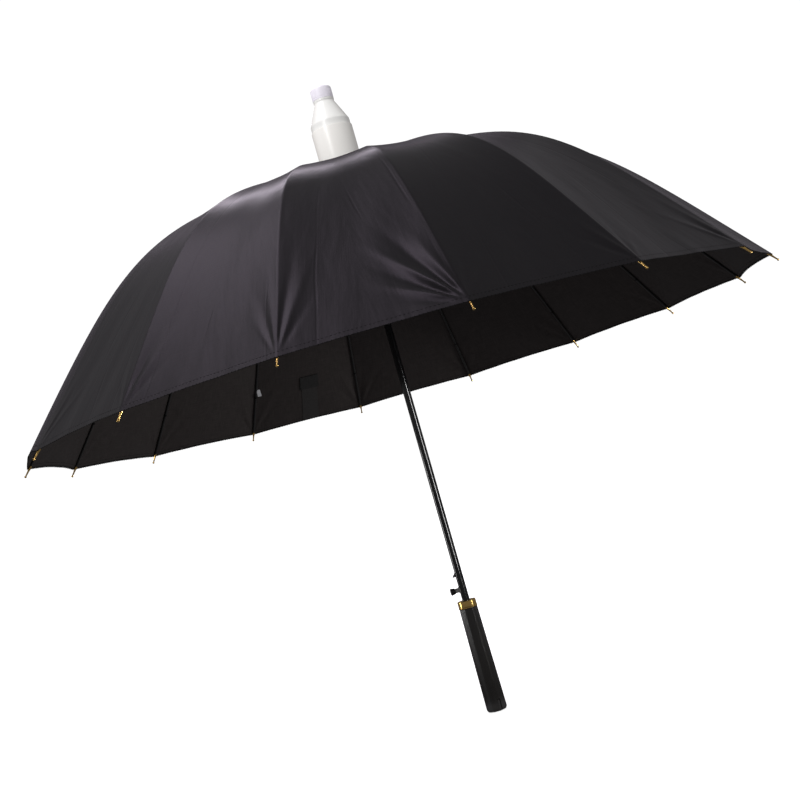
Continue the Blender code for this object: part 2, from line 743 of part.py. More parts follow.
def stretcher_run():
    lug_out, lug_up = rib_point(LUG_DISTANCE, -LUG_DROP)
    run_out = RUNNER_PIVOT_RADIUS - HINGE_RADIUS - lug_out
    run_up = -RUNNER_DROP - lug_up
    return math.hypot(run_out, run_up), math.atan2(-run_up, run_out)


def fork_mesh():
    outline = arc((0, 0), FORK_END_RADIUS, math.pi / 2, 3 * math.pi / 2, HOLE_SEGMENTS)
    outline.append((FORK_LENGTH - FORK_END_RADIUS, -FORK_END_RADIUS))
    outline.append((FORK_LENGTH, -BAR_HEIGHT / 4))
    outline.append((FORK_LENGTH, BAR_HEIGHT / 4))
    outline.append((FORK_LENGTH - FORK_END_RADIUS, FORK_END_RADIUS))
    return plate_mesh("stretcher_fork", [outline], FORK_WIDTH)


def stretcher_blade_mesh(length):
    end = BLADE_END_RADIUS
    start = length - STRETCHER_BLADE_LENGTH - STRETCHER_BLADE_OVERLAP
    outline = arc((length, 0), end, -math.pi / 2, math.pi / 2, HOLE_SEGMENTS)
    outline += [(start, end), (start, -end)]
    return plate_mesh("stretcher_blade", [outline], BLADE_THICKNESS)


def stretcher_mesh(length):
    slot = box_mesh(
        "stretcher_slot",
        (-FORK_END_RADIUS - CUT_OVERRUN, -FORK_SLOT_WIDTH / 2, -FORK_END_RADIUS - CUT_OVERRUN),
        (FORK_SLOT_DEPTH, FORK_SLOT_WIDTH / 2, FORK_END_RADIUS + CUT_OVERRUN))
    half_pin = FORK_WIDTH / 2 - SEAT_GAP
    pin = cylinder_mesh("stretcher_pin", FORK_PIN_RADIUS, -half_pin, half_pin, HOLE_SEGMENTS)
    pin.transform(Matrix.Rotation(math.pi / 2, 4, "X"))
    half = BAR_HEIGHT / 2
    bar_start = (FORK_SLOT_DEPTH + FORK_LENGTH) / 2
    bar = box_mesh("stretcher_bar", (bar_start, -BAR_WIDTH / 2, -half),
                   (length - STRETCHER_BLADE_LENGTH, BAR_WIDTH / 2, half))
    return joined_mesh("stretcher", [
        (fork_mesh(), None), (slot, "DIFFERENCE"), (pin, "UNION"), (bar, "UNION"),
        (stretcher_blade_mesh(length), "UNION")])


# Cloth, as an inner face that Solidify thickens outwards

def cloth_line():
    # (out, up) from the hinge and the share of the hem's rise, from the hub to the corners
    inner = CROWN_HUB_RADIUS + CLOTH_HUB_GAP - HINGE_RADIUS
    washer = WASHER_RADIUS + CLOTH_WASHER_MARGIN - HINGE_RADIUS
    rise = RIB_RADIUS + SEAT_GAP
    line = [(inner, CLOTH_HUB_RISE, 0), (washer, CLOTH_HUB_RISE, 0)]
    corner = RIB_LENGTH - CORNER_SETBACK
    for distance in rib_stations() + [corner]:
        out, up = rib_point(distance, rise)
        line.append((out, up, max(0, 1 - (corner - distance) / HEM_BAND)))
    return line


def cloth_mesh():
    line = cloth_line()
    hem_slope = rib_slope(RIB_LENGTH - CORNER_SETBACK)
    shape = bmesh.new()
    bmesh.ops.create_grid(shape, x_segments=len(line) - 1, y_segments=CLOTH_COLUMNS, size=1)
    for vertex in shape.verts:
        row = round((vertex.co.x + 1) / 2 * (len(line) - 1))
        across = round((vertex.co.y + 1) / 2 * CLOTH_COLUMNS) / CLOTH_COLUMNS * 2 - 1
        out, up, hem_share = line[row]
        # The hem rises towards the middle of each gore, along the cloth
        rise = HEM_RISE * hem_share * (1 - (1 - abs(across)) ** 2)
        out -= rise * math.cos(hem_slope)
        up += rise * math.sin(hem_slope)
        radius = HINGE_RADIUS + out
        # Between two ribs the cloth runs straight from one to the other
        reach = radius * math.sin(HALF_GORE) * math.cos(HALF_GORE) - SEAT_GAP / 2
        vertex.co.x = radius * (1 - abs(across) * math.sin(HALF_GORE) ** 2) - HINGE_RADIUS
        vertex.co.y = reach * across
        vertex.co.z = up
    mesh = mesh_from_bmesh("canopy_panel", shape)
    mesh.shade_smooth()
    return mesh


def build_ribs_and_canopy():
    rib = rib_mesh()
    length, turn_down = stretcher_run()
    stretcher = stretcher_mesh(length)
    cloth = cloth_mesh()
    lug_out, lug_up = rib_point(LUG_DISTANCE, -LUG_DROP)
    for index in range(RIBS):
        angle = index * RIB_ANGLE
        number = f"{index + 1:02d}"
        hinge = (HINGE_RADIUS * math.cos(angle), HINGE_RADIUS * math.sin(angle), CROWN_HEIGHT)
        pivot = add_pivot("pivot_rib_" + number, hinge, (0, 0, angle))
        add_part("rib_" + number, rib, RIB_METAL, pivot)
        bar = add_part("stretcher_" + number, stretcher, STRETCHER_METAL, pivot)
        place(bar, (lug_out, 0, lug_up), (0, turn_down, 0), pivot)
        panel = add_part("canopy_panel_" + number, cloth, BLACK_CLOTH, pivot)
        solidify = panel.modifiers.new("Cloth thickness", "SOLIDIFY")
        solidify.thickness = CLOTH_THICKNESS
        solidify.offset = 1


# Drip cover

def cloth_top_at(radius):
    # Height of the cloth's outer face over a rib, at a radius between the washer and the blend
    line = cloth_line()
    outs = [HINGE_RADIUS + out for out, _, _ in line]
    ups = [up for _, up, _ in line]
    return CROWN_HEIGHT + float(np.interp(radius, outs, ups)) + CLOTH_THICKNESS


def cover_radii():
    outer_bore = COVER_OUTER_RADIUS - COVER_WALL
    flare = outer_bore - COVER_RUN_GAP
    return outer_bore, flare, flare - COVER_FLARE_STEP


def build_cover_outer():
    bore, _, inner_tube = cover_radii()
    lip = inner_tube + COVER_RUN_GAP
    foot = cloth_top_at(bore) + SEAT_GAP
    profile = [
        (lip, COVER_EDGE_HEIGHT),
        (COVER_OUTER_RADIUS - COVER_WALL / 2, COVER_EDGE_HEIGHT),
        (COVER_OUTER_RADIUS, COVER_EDGE_HEIGHT - COVER_WALL / 2),
        (COVER_OUTER_RADIUS, foot),
        (bore, foot),
        (bore, COVER_EDGE_HEIGHT - COVER_LIP_HEIGHT),
        (lip, COVER_EDGE_HEIGHT - COVER_LIP_HEIGHT),
    ]
    mesh = profile_mesh("cover_outer_section", profile, closed=True)
    section = add_part("cover_outer_section", mesh, FROSTED)
    turn(section, FINE_SEGMENTS)
    return section


def build_cover_top():
    _, flare, tube = cover_radii()
    flare_top = COVER_EDGE_HEIGHT - COVER_LIP_HEIGHT - SEAT_GAP - COVER_DRAW
    foot = flare_top - COVER_FLARE_HEIGHT
    web_foot = BEAD_FOOT + BEAD_HEIGHT + SEAT_GAP
    web_top = web_foot + WEB_THICKNESS
    taper = (tube - NECK_RADIUS) / (NECK_FOOT - SHOULDER_HEIGHT)
    web_rim = NECK_RADIUS - COVER_WALL + (NECK_FOOT - web_foot) * taper
    hole = SHAFT_RADIUS + SLIDE_GAP
    profile = [
        (NECK_RADIUS, NECK_TOP),
        (NECK_RADIUS, NECK_FOOT),
        (tube, SHOULDER_HEIGHT),
        (tube, flare_top + COVER_WALL),
        (flare, flare_top),
        (flare, foot),
        (tube - COVER_WALL, foot),
        (tube - COVER_WALL, SHOULDER_HEIGHT - COVER_WALL),
        (web_rim, web_foot),
        (hole, web_foot),
        (hole, web_top),
        (NECK_RADIUS - COVER_WALL, web_top),
        (NECK_RADIUS - COVER_WALL, NECK_TOP),
    ]
    section = add_part("cover_top_section", profile_mesh("cover_top_section", profile, closed=True), FROSTED)
    turn(section, FINE_SEGMENTS)
    return section


def build_cover_cap():
    bore = NECK_RADIUS + SEAT_GAP
    roof = NECK_TOP + SEAT_GAP
    profile = [
        (0, CAP_TOP),
        (CAP_RADIUS - CAP_ROUND, CAP_TOP),
        (CAP_RADIUS, CAP_TOP - CAP_ROUND),
        (CAP_RADIUS, CAP_FOOT),
        (bore, CAP_FOOT),
        (bore, roof),
        (0, roof),
    ]
    cap = add_part("cover_cap", profile_mesh("cover_cap", profile, closed=False), PALE_PLASTIC)
    turn(cap, FINE_SEGMENTS)
    return cap


clear_scene()
PARTS = new_collection("automatic_umbrella")
CUTTERS = new_collection("cutters")
BLACK_PAINT = new_material("black paint", (0.012, 0.012, 0.013), 0.16, 0.4)
BLACK_GLOSS = new_material("black gloss plastic", (0.010, 0.010, 0.011), 0.12)
BLACK_PLASTIC = new_material("black plastic", (0.014, 0.014, 0.015), 0.45)
GREY_PLASTIC = new_material("grey plastic", (0.30, 0.30, 0.31), 0.40)
GREY_STEEL = new_material("grey steel", (0.42, 0.42, 0.43), 0.35, 1.0)
SPRING_STEEL = new_material("spring steel", (0.45, 0.45, 0.46), 0.30, 1.0)
GOLD = new_material("gold ring", (0.83, 0.60, 0.26), 0.18, 1.0)
RIB_METAL = new_material("black rib", (0.020, 0.020, 0.021), 0.35, 0.6)
STRETCHER_METAL = new_material("black stretcher", (0.020, 0.020, 0.021), 0.35, 0.6)
BLACK_CLOTH = new_material("black cloth", (0.013, 0.013, 0.015), 0.75)
FROSTED = new_material("frosted plastic", (0.80, 0.78, 0.76), 0.35)
PALE_PLASTIC = new_material("pale plastic", (0.86, 0.85, 0.88), 0.35)

build_shaft()
build_handle()
build_handle_ring()
build_button_collar()
build_release_button()
build_catch_leaf()
build_crown()
build_runner()
build_spring()
build_ribs_and_canopy()
build_cover_outer()
build_cover_top()
build_cover_cap()
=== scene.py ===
import json
import math

import bmesh
import bpy
import numpy as np
from mathutils import Matrix, Vector

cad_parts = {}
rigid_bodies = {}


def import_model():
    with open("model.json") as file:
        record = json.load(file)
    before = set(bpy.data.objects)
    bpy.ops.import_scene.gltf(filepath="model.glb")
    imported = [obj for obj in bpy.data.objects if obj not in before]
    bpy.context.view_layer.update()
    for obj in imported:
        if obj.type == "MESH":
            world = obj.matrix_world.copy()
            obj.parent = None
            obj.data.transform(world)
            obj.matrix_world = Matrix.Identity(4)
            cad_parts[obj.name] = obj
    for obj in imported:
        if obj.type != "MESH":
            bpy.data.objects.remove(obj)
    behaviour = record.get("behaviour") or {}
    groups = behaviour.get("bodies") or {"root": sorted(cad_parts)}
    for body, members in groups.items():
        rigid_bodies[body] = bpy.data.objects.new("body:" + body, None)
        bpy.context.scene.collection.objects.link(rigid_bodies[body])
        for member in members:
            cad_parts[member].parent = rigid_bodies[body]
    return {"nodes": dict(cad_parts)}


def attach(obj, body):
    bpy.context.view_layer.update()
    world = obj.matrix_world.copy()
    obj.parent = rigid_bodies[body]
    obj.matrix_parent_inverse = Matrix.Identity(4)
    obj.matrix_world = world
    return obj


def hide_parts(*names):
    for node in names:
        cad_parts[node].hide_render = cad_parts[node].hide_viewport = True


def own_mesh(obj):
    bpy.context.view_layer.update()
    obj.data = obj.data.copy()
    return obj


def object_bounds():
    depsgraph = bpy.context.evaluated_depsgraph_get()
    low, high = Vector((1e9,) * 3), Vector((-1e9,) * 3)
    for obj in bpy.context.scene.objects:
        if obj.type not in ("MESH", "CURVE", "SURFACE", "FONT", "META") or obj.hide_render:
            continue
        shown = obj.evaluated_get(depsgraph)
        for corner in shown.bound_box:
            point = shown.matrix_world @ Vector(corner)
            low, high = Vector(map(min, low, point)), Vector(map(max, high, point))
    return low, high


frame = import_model()
firstLow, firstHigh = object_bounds()
print("frame box", [round(v, 4) for v in firstLow], [round(v, 4) for v in firstHigh])


# Shader building

def put(tree, kind, sockets=None, **settings):
    item = tree.nodes.new(kind)
    for key, value in settings.items():
        setattr(item, key, value)
    for key, value in (sockets or {}).items():
        if isinstance(value, bpy.types.NodeSocket):
            tree.links.new(value, item.inputs[key])
        else:
            item.inputs[key].default_value = value
    return item


def sum2(tree, kind, first, second, clamp=False):
    return put(tree, "ShaderNodeMath", {0: first, 1: second}, operation=kind, use_clamp=clamp).outputs[0]


def ramp(tree, value, fromLow, fromHigh, toLow, toHigh):
    sockets = {"Value": value, "From Min": fromLow, "From Max": fromHigh, "To Min": toLow, "To Max": toHigh}
    return put(tree, "ShaderNodeMapRange", sockets, interpolation_type="SMOOTHSTEP").outputs["Result"]


def shaderGroup(name, inputs, outputs):
    tree = bpy.data.node_groups.new(name, "ShaderNodeTree")
    for label, kind in inputs:
        tree.interface.new_socket(label, in_out="INPUT", socket_type="NodeSocket" + kind)
    for label, kind in outputs:
        tree.interface.new_socket(label, in_out="OUTPUT", socket_type="NodeSocket" + kind)
    return tree, put(tree, "NodeGroupInput").outputs, put(tree, "NodeGroupOutput").inputs


def useGroup(tree, group, **sockets):
    item = put(tree, "ShaderNodeGroup", node_tree=group)
    for key, value in sockets.items():
        if isinstance(value, bpy.types.NodeSocket):
            tree.links.new(value, item.inputs[key])
        else:
            item.inputs[key].default_value = value
    return item.outputs


mottleGroup, given, result = shaderGroup(
    "mottle", [("Vector", "Vector"), ("Scale", "Float"), ("Low", "Float"), ("High", "Float")], [("Value", "Float")])
cloud = put(mottleGroup, "ShaderNodeTexNoise", {"Vector": given["Vector"], "Scale": given["Scale"], "Detail": 4.0})
mottleGroup.links.new(
    ramp(mottleGroup, cloud.outputs["Fac"], 0.3, 0.7, given["Low"], given["High"]), result["Value"])

threadGroup, given, result = shaderGroup("threads", [("Vector", "Vector"), ("Pitch", "Float")], [("Value", "Float")])
pitch = put(threadGroup, "ShaderNodeMath", {0: 1.0, 1: given["Pitch"]}, operation="DIVIDE").outputs[0]
threads = []
for stretch in ((1.0, 0.06, 1.0), (0.06, 1.0, 1.0)):
    laid = put(threadGroup, "ShaderNodeVectorMath", {0: given["Vector"], 1: stretch}, operation="MULTIPLY")
    threads.append(put(threadGroup, "ShaderNodeTexNoise",
                       {"Vector": laid.outputs["Vector"], "Scale": pitch, "Detail": 2.0}).outputs["Fac"])
threadGroup.links.new(sum2(threadGroup, "MULTIPLY", sum2(threadGroup, "ADD", *threads), 0.5), result["Value"])

lineGroup, given, result = shaderGroup(
    "line", [("Distance", "Float"), ("Place", "Float"), ("Half", "Float")], [("Mask", "Float")])
gap = sum2(lineGroup, "SUBTRACT", given["Distance"], given["Place"])
gap = put(lineGroup, "ShaderNodeMath", {0: gap}, operation="ABSOLUTE").outputs[0]
edge = sum2(lineGroup, "MULTIPLY", given["Half"], 0.5)
lineGroup.links.new(ramp(lineGroup, gap, edge, given["Half"], 1.0, 0.0), result["Mask"])


def newMaterial(name, colour, roughness, **sockets):
    material = bpy.data.materials.new(name)
    material.use_nodes = True
    tree = material.node_tree
    shader = tree.nodes["Principled BSDF"]
    shader.inputs["Base Color"].default_value = (*colour, 1.0)
    shader.inputs["Roughness"].default_value = roughness
    for key, value in sockets.items():
        shader.inputs[key.replace("_", " ")].default_value = value
    return material, tree, shader


def finished(name, colour, roughness, scale=60.0, wear=0.08, bump=0.00003, stretch=1.0, **sockets):
    # A solid finish whose roughness and surface vary a little, in the piece's own space
    material, tree, shader = newMaterial(name, colour, roughness, **sockets)
    place = put(tree, "ShaderNodeTexCoord").outputs["Object"]
    place = put(tree, "ShaderNodeVectorMath", {0: place, 1: (1.0, 1.0, stretch)}, operation="MULTIPLY").outputs[0]
    rough = useGroup(tree, mottleGroup, Vector=place, Scale=scale, Low=roughness - wear / 2, High=roughness + wear / 2)
    tree.links.new(rough["Value"], shader.inputs["Roughness"])
    height = useGroup(tree, mottleGroup, Vector=place, Scale=scale * 6, Low=0.0, High=1.0)["Value"]
    bumped = put(tree, "ShaderNodeBump", {"Height": height, "Distance": bump, "Strength": 1.0})
    tree.links.new(bumped.outputs["Normal"], shader.inputs["Normal"])
    return material


def clothMaterial(name, look):
    material, tree, shader = newMaterial(name, look["colour"], look["roughness"], Specular_IOR_Level=look["gloss"],
                                         Specular_Tint=look["tint"], Sheen_Tint=look["tint"],
                                         Sheen_Weight=look["sheen"], Sheen_Roughness=look["sheenRoughness"])
    facing = put(tree, "ShaderNodeLayerWeight", {"Blend": 0.5}).outputs["Facing"]
    tree.links.new(ramp(tree, facing, 0.76, 0.96, look["roughness"], look["edgeRoughness"]), shader.inputs["Roughness"])
    laid = put(tree, "ShaderNodeUVMap", uv_map="cloth").outputs["UV"]
    edges = put(tree, "ShaderNodeSeparateXYZ", {0: put(tree, "ShaderNodeUVMap", uv_map="edges").outputs["UV"]}).outputs
    thread = useGroup(tree, threadGroup, Vector=laid, Pitch=look["pitch"])["Value"]
    hem = useGroup(tree, lineGroup, Distance=edges["X"], Place=look["hemLine"], Half=look["lineHalf"])["Mask"]
    seam = useGroup(tree, lineGroup, Distance=edges["Y"], Place=0.0, Half=look["seamHalf"])["Mask"]
    lines = sum2(tree, "MAXIMUM", hem, seam)
    shade = ramp(tree, thread, 0.35, 0.65, 1 - look["weave"], 1 + look["weave"])
    shade = sum2(tree, "MULTIPLY", shade, ramp(tree, lines, 0.0, 1.0, 1.0, look["lineShade"]))
    # Darker in a band along the hem's edge, by rimShade within rimWidth: painted shade along the doubled hem; only the
    # inside uses it
    shade = sum2(tree, "MULTIPLY", shade, ramp(tree, edges["X"], 0.0015, look["rimWidth"], look["rimShade"], 1.0))
    colour = put(tree, "ShaderNodeVectorMath", {0: look["colour"], "Scale": shade}, operation="SCALE")
    tree.links.new(colour.outputs["Vector"], shader.inputs["Base Color"])
    stretched = put(tree, "ShaderNodeVectorMath", {0: laid, 1: (1.0, 0.22, 1.0)}, operation="MULTIPLY")
    ripple = put(tree, "ShaderNodeTexNoise", {"Vector": stretched.outputs["Vector"], "Scale": look["rippleScale"],
                                              "Detail": 3.0}).outputs["Fac"]
    along = put(tree, "ShaderNodeSeparateXYZ", {0: laid}).outputs
    drift = put(tree, "ShaderNodeTexNoise", {"Vector": laid, "Scale": 5.0, "Detail": 1.0}).outputs["Fac"]
    shifted = sum2(tree, "ADD", along["X"], sum2(tree, "MULTIPLY", drift, look["creaseDrift"]))
    crease = put(tree, "ShaderNodeMath", {0: shifted, 1: look["creaseGap"]}, operation="PINGPONG").outputs[0]
    crease = ramp(tree, crease, 0.0, look["creaseHalf"], 0.0, 1.0)
    crease = sum2(tree, "MULTIPLY", crease, ramp(tree, drift, 0.42, 0.6, 0.0, look["creaseHeight"]))
    height = sum2(tree, "ADD", sum2(tree, "MULTIPLY", ripple, look["rippleHeight"]), crease)
    height = sum2(tree, "ADD", height, sum2(tree, "MULTIPLY", thread, look["threadHeight"]))
    height = sum2(tree, "SUBTRACT", height, sum2(tree, "MULTIPLY", hem, look["lineDepth"]))
    bumped = put(tree, "ShaderNodeBump", {"Height": height, "Distance": 1.0, "Strength": 1.0})
    tree.links.new(bumped.outputs["Normal"], shader.inputs["Normal"])
    return material


outsideLook = {"colour": (0.0066, 0.0061, 0.0069), "roughness": 0.41, "edgeRoughness": 0.95, "gloss": 0.34, "sheen": 0.05,
               "sheenRoughness": 0.42, "tint": (0.98, 0.89, 1.0, 1.0), "pitch": 0.0012, "weave": 0.10, "hemLine": 0.0065, "lineHalf": 0.0006,
               "seamHalf": 0.0011, "lineShade": 0.93, "rippleScale": 34.0, "rippleHeight": 0.0009,
               "creaseDrift": 0.012, "creaseGap": 0.026, "creaseHalf": 0.0022, "creaseHeight": 0.00012,
               "threadHeight": 0.00008, "lineDepth": 0.00005, "rimWidth": 0.0025, "rimShade": 1.0}
# The inside's low rimShade darkens the band along its hem: painted shade
insideLook = dict(outsideLook, colour=(0.0225, 0.0188, 0.018), tint=(1.0, 0.94, 0.92, 1.0), roughness=0.72, gloss=0.2, sheen=0.02, weave=0.22,
                  rippleHeight=0.0006, lineShade=0.6, rimWidth=0.0042, rimShade=0.12)
clothOutside = clothMaterial("clothOutside", outsideLook)
clothInside = clothMaterial("clothInside", insideLook)
strapCloth = finished("strapCloth", (0.0045, 0.0042, 0.0042), 0.8, scale=400.0, bump=0.0001)
tailCloth = finished("tailCloth", (0.0135, 0.0115, 0.011), 0.8, scale=400.0, bump=0.0001)
tagCloth = finished("tagCloth", (0.46, 0.46, 0.48), 0.8, scale=500.0, bump=0.00005)
thread = finished("thread", (0.010, 0.0095, 0.010), 0.9, scale=900.0, Specular_IOR_Level=0.1)
blackPaint = finished("blackPaint", (0.0055, 0.0055, 0.006), 0.12, scale=40.0, wear=0.04, bump=0.000002,
                      Coat_Weight=0.4, Coat_Roughness=0.03)
ribPaint = finished("ribPaint", (0.011, 0.0105, 0.0105), 0.34, scale=80.0, bump=0.00001)
handleGloss = finished("handleGloss", (0.0115, 0.0102, 0.0096), 0.16, scale=140.0, wear=0.14, bump=0.00003, stretch=0.05,
                       Coat_Weight=0.5, Coat_Roughness=0.07)
blackPlastic = finished("blackPlastic", (0.012, 0.0115, 0.0115), 0.36, scale=70.0, bump=0.00002)
greyPlastic = finished("greyPlastic", (0.24, 0.235, 0.23), 0.38, scale=70.0)
greySteel = finished("greySteel", (0.16, 0.16, 0.165), 0.34, scale=70.0, Metallic=0.6)
springSteel = finished("springSteel", (0.42, 0.42, 0.43), 0.3, scale=90.0, Metallic=1.0)
goldPlate = finished("goldPlate", (0.93, 0.61, 0.20), 0.2, scale=55.0, wear=0.08, bump=0.000006, Metallic=1.0)
# The cap's pale plastic with a faint emission: a painted glow, it is no lamp
palePlastic = finished("palePlastic", (0.85, 0.81, 0.895), 0.45, scale=50.0, bump=0.000004,
                       Emission_Color=(0.97, 0.94, 1.0, 1.0), Emission_Strength=0.06)
# The cover's frosted colours: middle where the surface faces the view, edge a darker, warmer one towards its outline,
# which is painted shade
frosted = {"middle": (0.95, 0.93, 0.90, 1.0), "edge": (0.90, 0.865, 0.82, 1.0)}
# The frosted plastic's faint emission is a painted glow, standing in for light coming through the plastic
frostedPlastic = finished("frostedPlastic", frosted["middle"][:3], 0.34, scale=50.0, bump=0.000008, Transmission_Weight=0.08, IOR=1.45,
                          Coat_Weight=0.3, Coat_Roughness=0.28, Emission_Color=(1.0, 0.97, 0.93, 1.0),
                          Emission_Strength=0.06)
tree = frostedPlastic.node_tree
# Painted shade: the base colour turns from the middle colour to the darker edge colour as the surface turns away from
# the view
facing = put(tree, "ShaderNodeLayerWeight", {"Blend": 0.4}).outputs["Facing"]
paintedEdgeShade = put(tree, "ShaderNodeMix", {"Factor": ramp(tree, facing, 0.25, 0.9, 0.0, 1.0)}, data_type="RGBA")
paintedEdgeShade.inputs["A"].default_value = frosted["middle"]
paintedEdgeShade.inputs["B"].default_value = frosted["edge"]
tree.links.new(paintedEdgeShade.outputs["Result"], tree.nodes["Principled BSDF"].inputs["Base Color"])
# A darker copy of the frosted plastic for the cover's top section: a shaded copy of the same plastic, painted shade,
# with the same painted glow and painted edge shade
clearPlastic = frostedPlastic.copy()
clearPlastic.name = "clearPlastic"
for item in clearPlastic.node_tree.nodes:
    if item.type == "MIX":
        item.inputs["A"].default_value = (0.885, 0.88, 0.865, 1.0)
        item.inputs["B"].default_value = (0.82, 0.80, 0.77, 1.0)
print("materials")


# Mesh building

def polish(mesh, angle):
    mesh.shade_smooth()
    mesh.set_sharp_from_angle(angle=math.radians(angle))
    return mesh


def meshOf(name, points, faces, outward=True):
    shape = bmesh.new()
    corners = [shape.verts.new(point) for point in points]
    for face in faces:
        shape.faces.new([corners[index] for index in face])
    if outward:
        bmesh.ops.recalc_face_normals(shape, faces=shape.faces)
    mesh = bpy.data.meshes.new(name)
    shape.to_mesh(mesh)
    shape.free()
    return mesh


def joined(name, meshes):
    shape = bmesh.new()
    for mesh in meshes:
        shape.from_mesh(mesh)
    mesh = bpy.data.meshes.new(name)
    shape.to_mesh(mesh)
    shape.free()
    return mesh


def addPiece(name, mesh, body, material, nodes=(), angle=35.0):
    if angle:
        polish(mesh, angle)
    if material:
        mesh.materials.clear()
        mesh.materials.append(material)
    item = bpy.data.objects.new(name, mesh)
    bpy.context.scene.collection.objects.link(item)
    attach(item, body)
    if nodes:
        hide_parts(*nodes)
    return item


def softened(outline, closed, steps=6):
    # Each (across, up, round) corner with a round becomes an arc of it
    points = []
    count = len(outline)
    for index, (across, up, rounding) in enumerate(outline):
        here = Vector((across, up))
        if not rounding or (not closed and index in (0, count - 1)):
            points.append(here)
            continue
        before = (Vector(outline[index - 1][:2]) - here).normalized()
        after = (Vector(outline[(index + 1) % count][:2]) - here).normalized()
        half = before.angle(after) / 2
        middle = here + (before + after).normalized() * rounding / math.sin(half)
        first = here + before * rounding / math.tan(half) - middle
        last = here + after * rounding / math.tan(half) - middle
        sweep = first.angle(last)
        for step in range(steps + 1):
            turn = sweep * step / steps
            points.append(middle + (first * math.sin(sweep - turn) + last * math.sin(turn)) / math.sin(sweep))
    return [(point.x, point.y) for point in points]


def lathe(name, outline, closed=False, segments=96, place=None):
    # Turns (radius, height) points round Z; points on the axis close the ends
    points, rows = [], []
    for radius, height in outline:
        if radius < 1e-7:
            rows.append([len(points)])
            points.append((0.0, 0.0, height))
            continue
        rows.append(list(range(len(points), len(points) + segments)))
        for index in range(segments):
            turn = 2 * math.pi * index / segments
            points.append((radius * math.cos(turn), radius * math.sin(turn), height))
    faces = []
    pairs = list(zip(rows, rows[1:])) + ([(rows[-1], rows[0])] if closed else [])
    for low, high in pairs:
        for index in range(segments):
            after = (index + 1) % segments
            if len(low) == 1:
                faces.append((low[0], high[index], high[after]))
            elif len(high) == 1:
                faces.append((low[index], low[after], high[0]))
            else:
                faces.append((low[index], low[after], high[after], high[index]))
    mesh = meshOf(name, points, faces)
    if place:
        mesh.transform(place)
    return mesh


def tube(name, path, radii, sides=12):
    # A round bar along path, its ends closed
    path = [Vector(point) for point in path]
    points, faces = [], []
    side = Vector((0, 1, 0))
    for index, centre in enumerate(path):
        ahead = (path[min(index + 1, len(path) - 1)] - path[max(index - 1, 0)]).normalized()
        side = (side - ahead * side.dot(ahead)).normalized()
        up = ahead.cross(side)
        for step in range(sides):
            turn = 2 * math.pi * step / sides
            points.append(centre + (side * math.cos(turn) + up * math.sin(turn)) * radii[index])
    for index in range(len(path) - 1):
        for step in range(sides):
            low, high = index * sides + step, index * sides + (step + 1) % sides
            faces.append((low, high, high + sides, low + sides))
    faces.append(tuple(range(sides)))
    faces.append(tuple(range(len(points) - sides, len(points))))
    return meshOf(name, points, faces)


def plate(name, outline, thickness):
    # A flat plate in the XZ plane
    count = len(outline)
    points = [(x, side * thickness / 2, z) for side in (-1, 1) for x, z in outline]
    faces = [tuple(range(count)), tuple(range(count, 2 * count))]
    faces += [(index, (index + 1) % count, (index + 1) % count + count, index + count) for index in range(count)]
    return meshOf(name, points, faces)


def changed(mesh, modifiers):
    # The mesh with these modifiers, as a plain mesh
    item = bpy.data.objects.new(mesh.name, mesh)
    bpy.context.scene.collection.objects.link(item)
    for kind, settings in modifiers:
        modifier = item.modifiers.new(kind, kind)
        for key, value in settings.items():
            setattr(modifier, key, value)
    bpy.context.view_layer.update()
    graph = bpy.context.evaluated_depsgraph_get()
    made = bpy.data.meshes.new_from_object(item.evaluated_get(graph), depsgraph=graph)
    bpy.data.objects.remove(item)
    return made


# Geometry Nodes: small grains on points, and turns of thread round points

def nodesTree(name, inputs):
    tree = bpy.data.node_groups.new(name, "GeometryNodeTree")
    tree.interface.new_socket("Geometry", in_out="INPUT", socket_type="NodeSocketGeometry")
    for label, kind in inputs:
        tree.interface.new_socket(label, in_out="INPUT", socket_type="NodeSocket" + kind)
    tree.interface.new_socket("Geometry", in_out="OUTPUT", socket_type="NodeSocketGeometry")
    return tree, put(tree, "NodeGroupInput").outputs, put(tree, "NodeGroupOutput").inputs


def onPoints(tree, given, result, grain, scale=None):
    heading = put(tree, "GeometryNodeInputNamedAttribute", {"Name": "heading"}, data_type="FLOAT_VECTOR")
    turned = put(tree, "FunctionNodeAlignRotationToVector", {"Vector": heading.outputs[0]}, axis="Z")
    spread = put(tree, "GeometryNodeInstanceOnPoints",
                 {"Points": given["Geometry"], "Instance": grain, "Rotation": turned.outputs[0]})
    if scale is not None:
        tree.links.new(scale, spread.inputs["Scale"])
    real = put(tree, "GeometryNodeRealizeInstances", {"Geometry": spread.outputs[0]})
    smooth = put(tree, "GeometryNodeSetShadeSmooth", {"Geometry": real.outputs[0]})
    painted = put(tree, "GeometryNodeSetMaterial", {"Geometry": smooth.outputs[0], "Material": given["Material"]})
    tree.links.new(painted.outputs[0], result["Geometry"])


grainTree, given, result = nodesTree(
    "grains", [("Radius", "Float"), ("Length", "Float"), ("Segments", "Int"), ("Material", "Material")])
ball = put(grainTree, "GeometryNodeMeshUVSphere",
           {"Segments": given["Segments"], "Rings": 5, "Radius": given["Radius"]})
lengthShare = put(grainTree, "ShaderNodeMath", {0: given["Length"], 1: given["Radius"]}, operation="DIVIDE")
size = put(grainTree, "ShaderNodeCombineXYZ", {"X": 1.0, "Y": 1.0, "Z": lengthShare.outputs[0]})
onPoints(grainTree, given, result, ball.outputs[0], size.outputs[0])

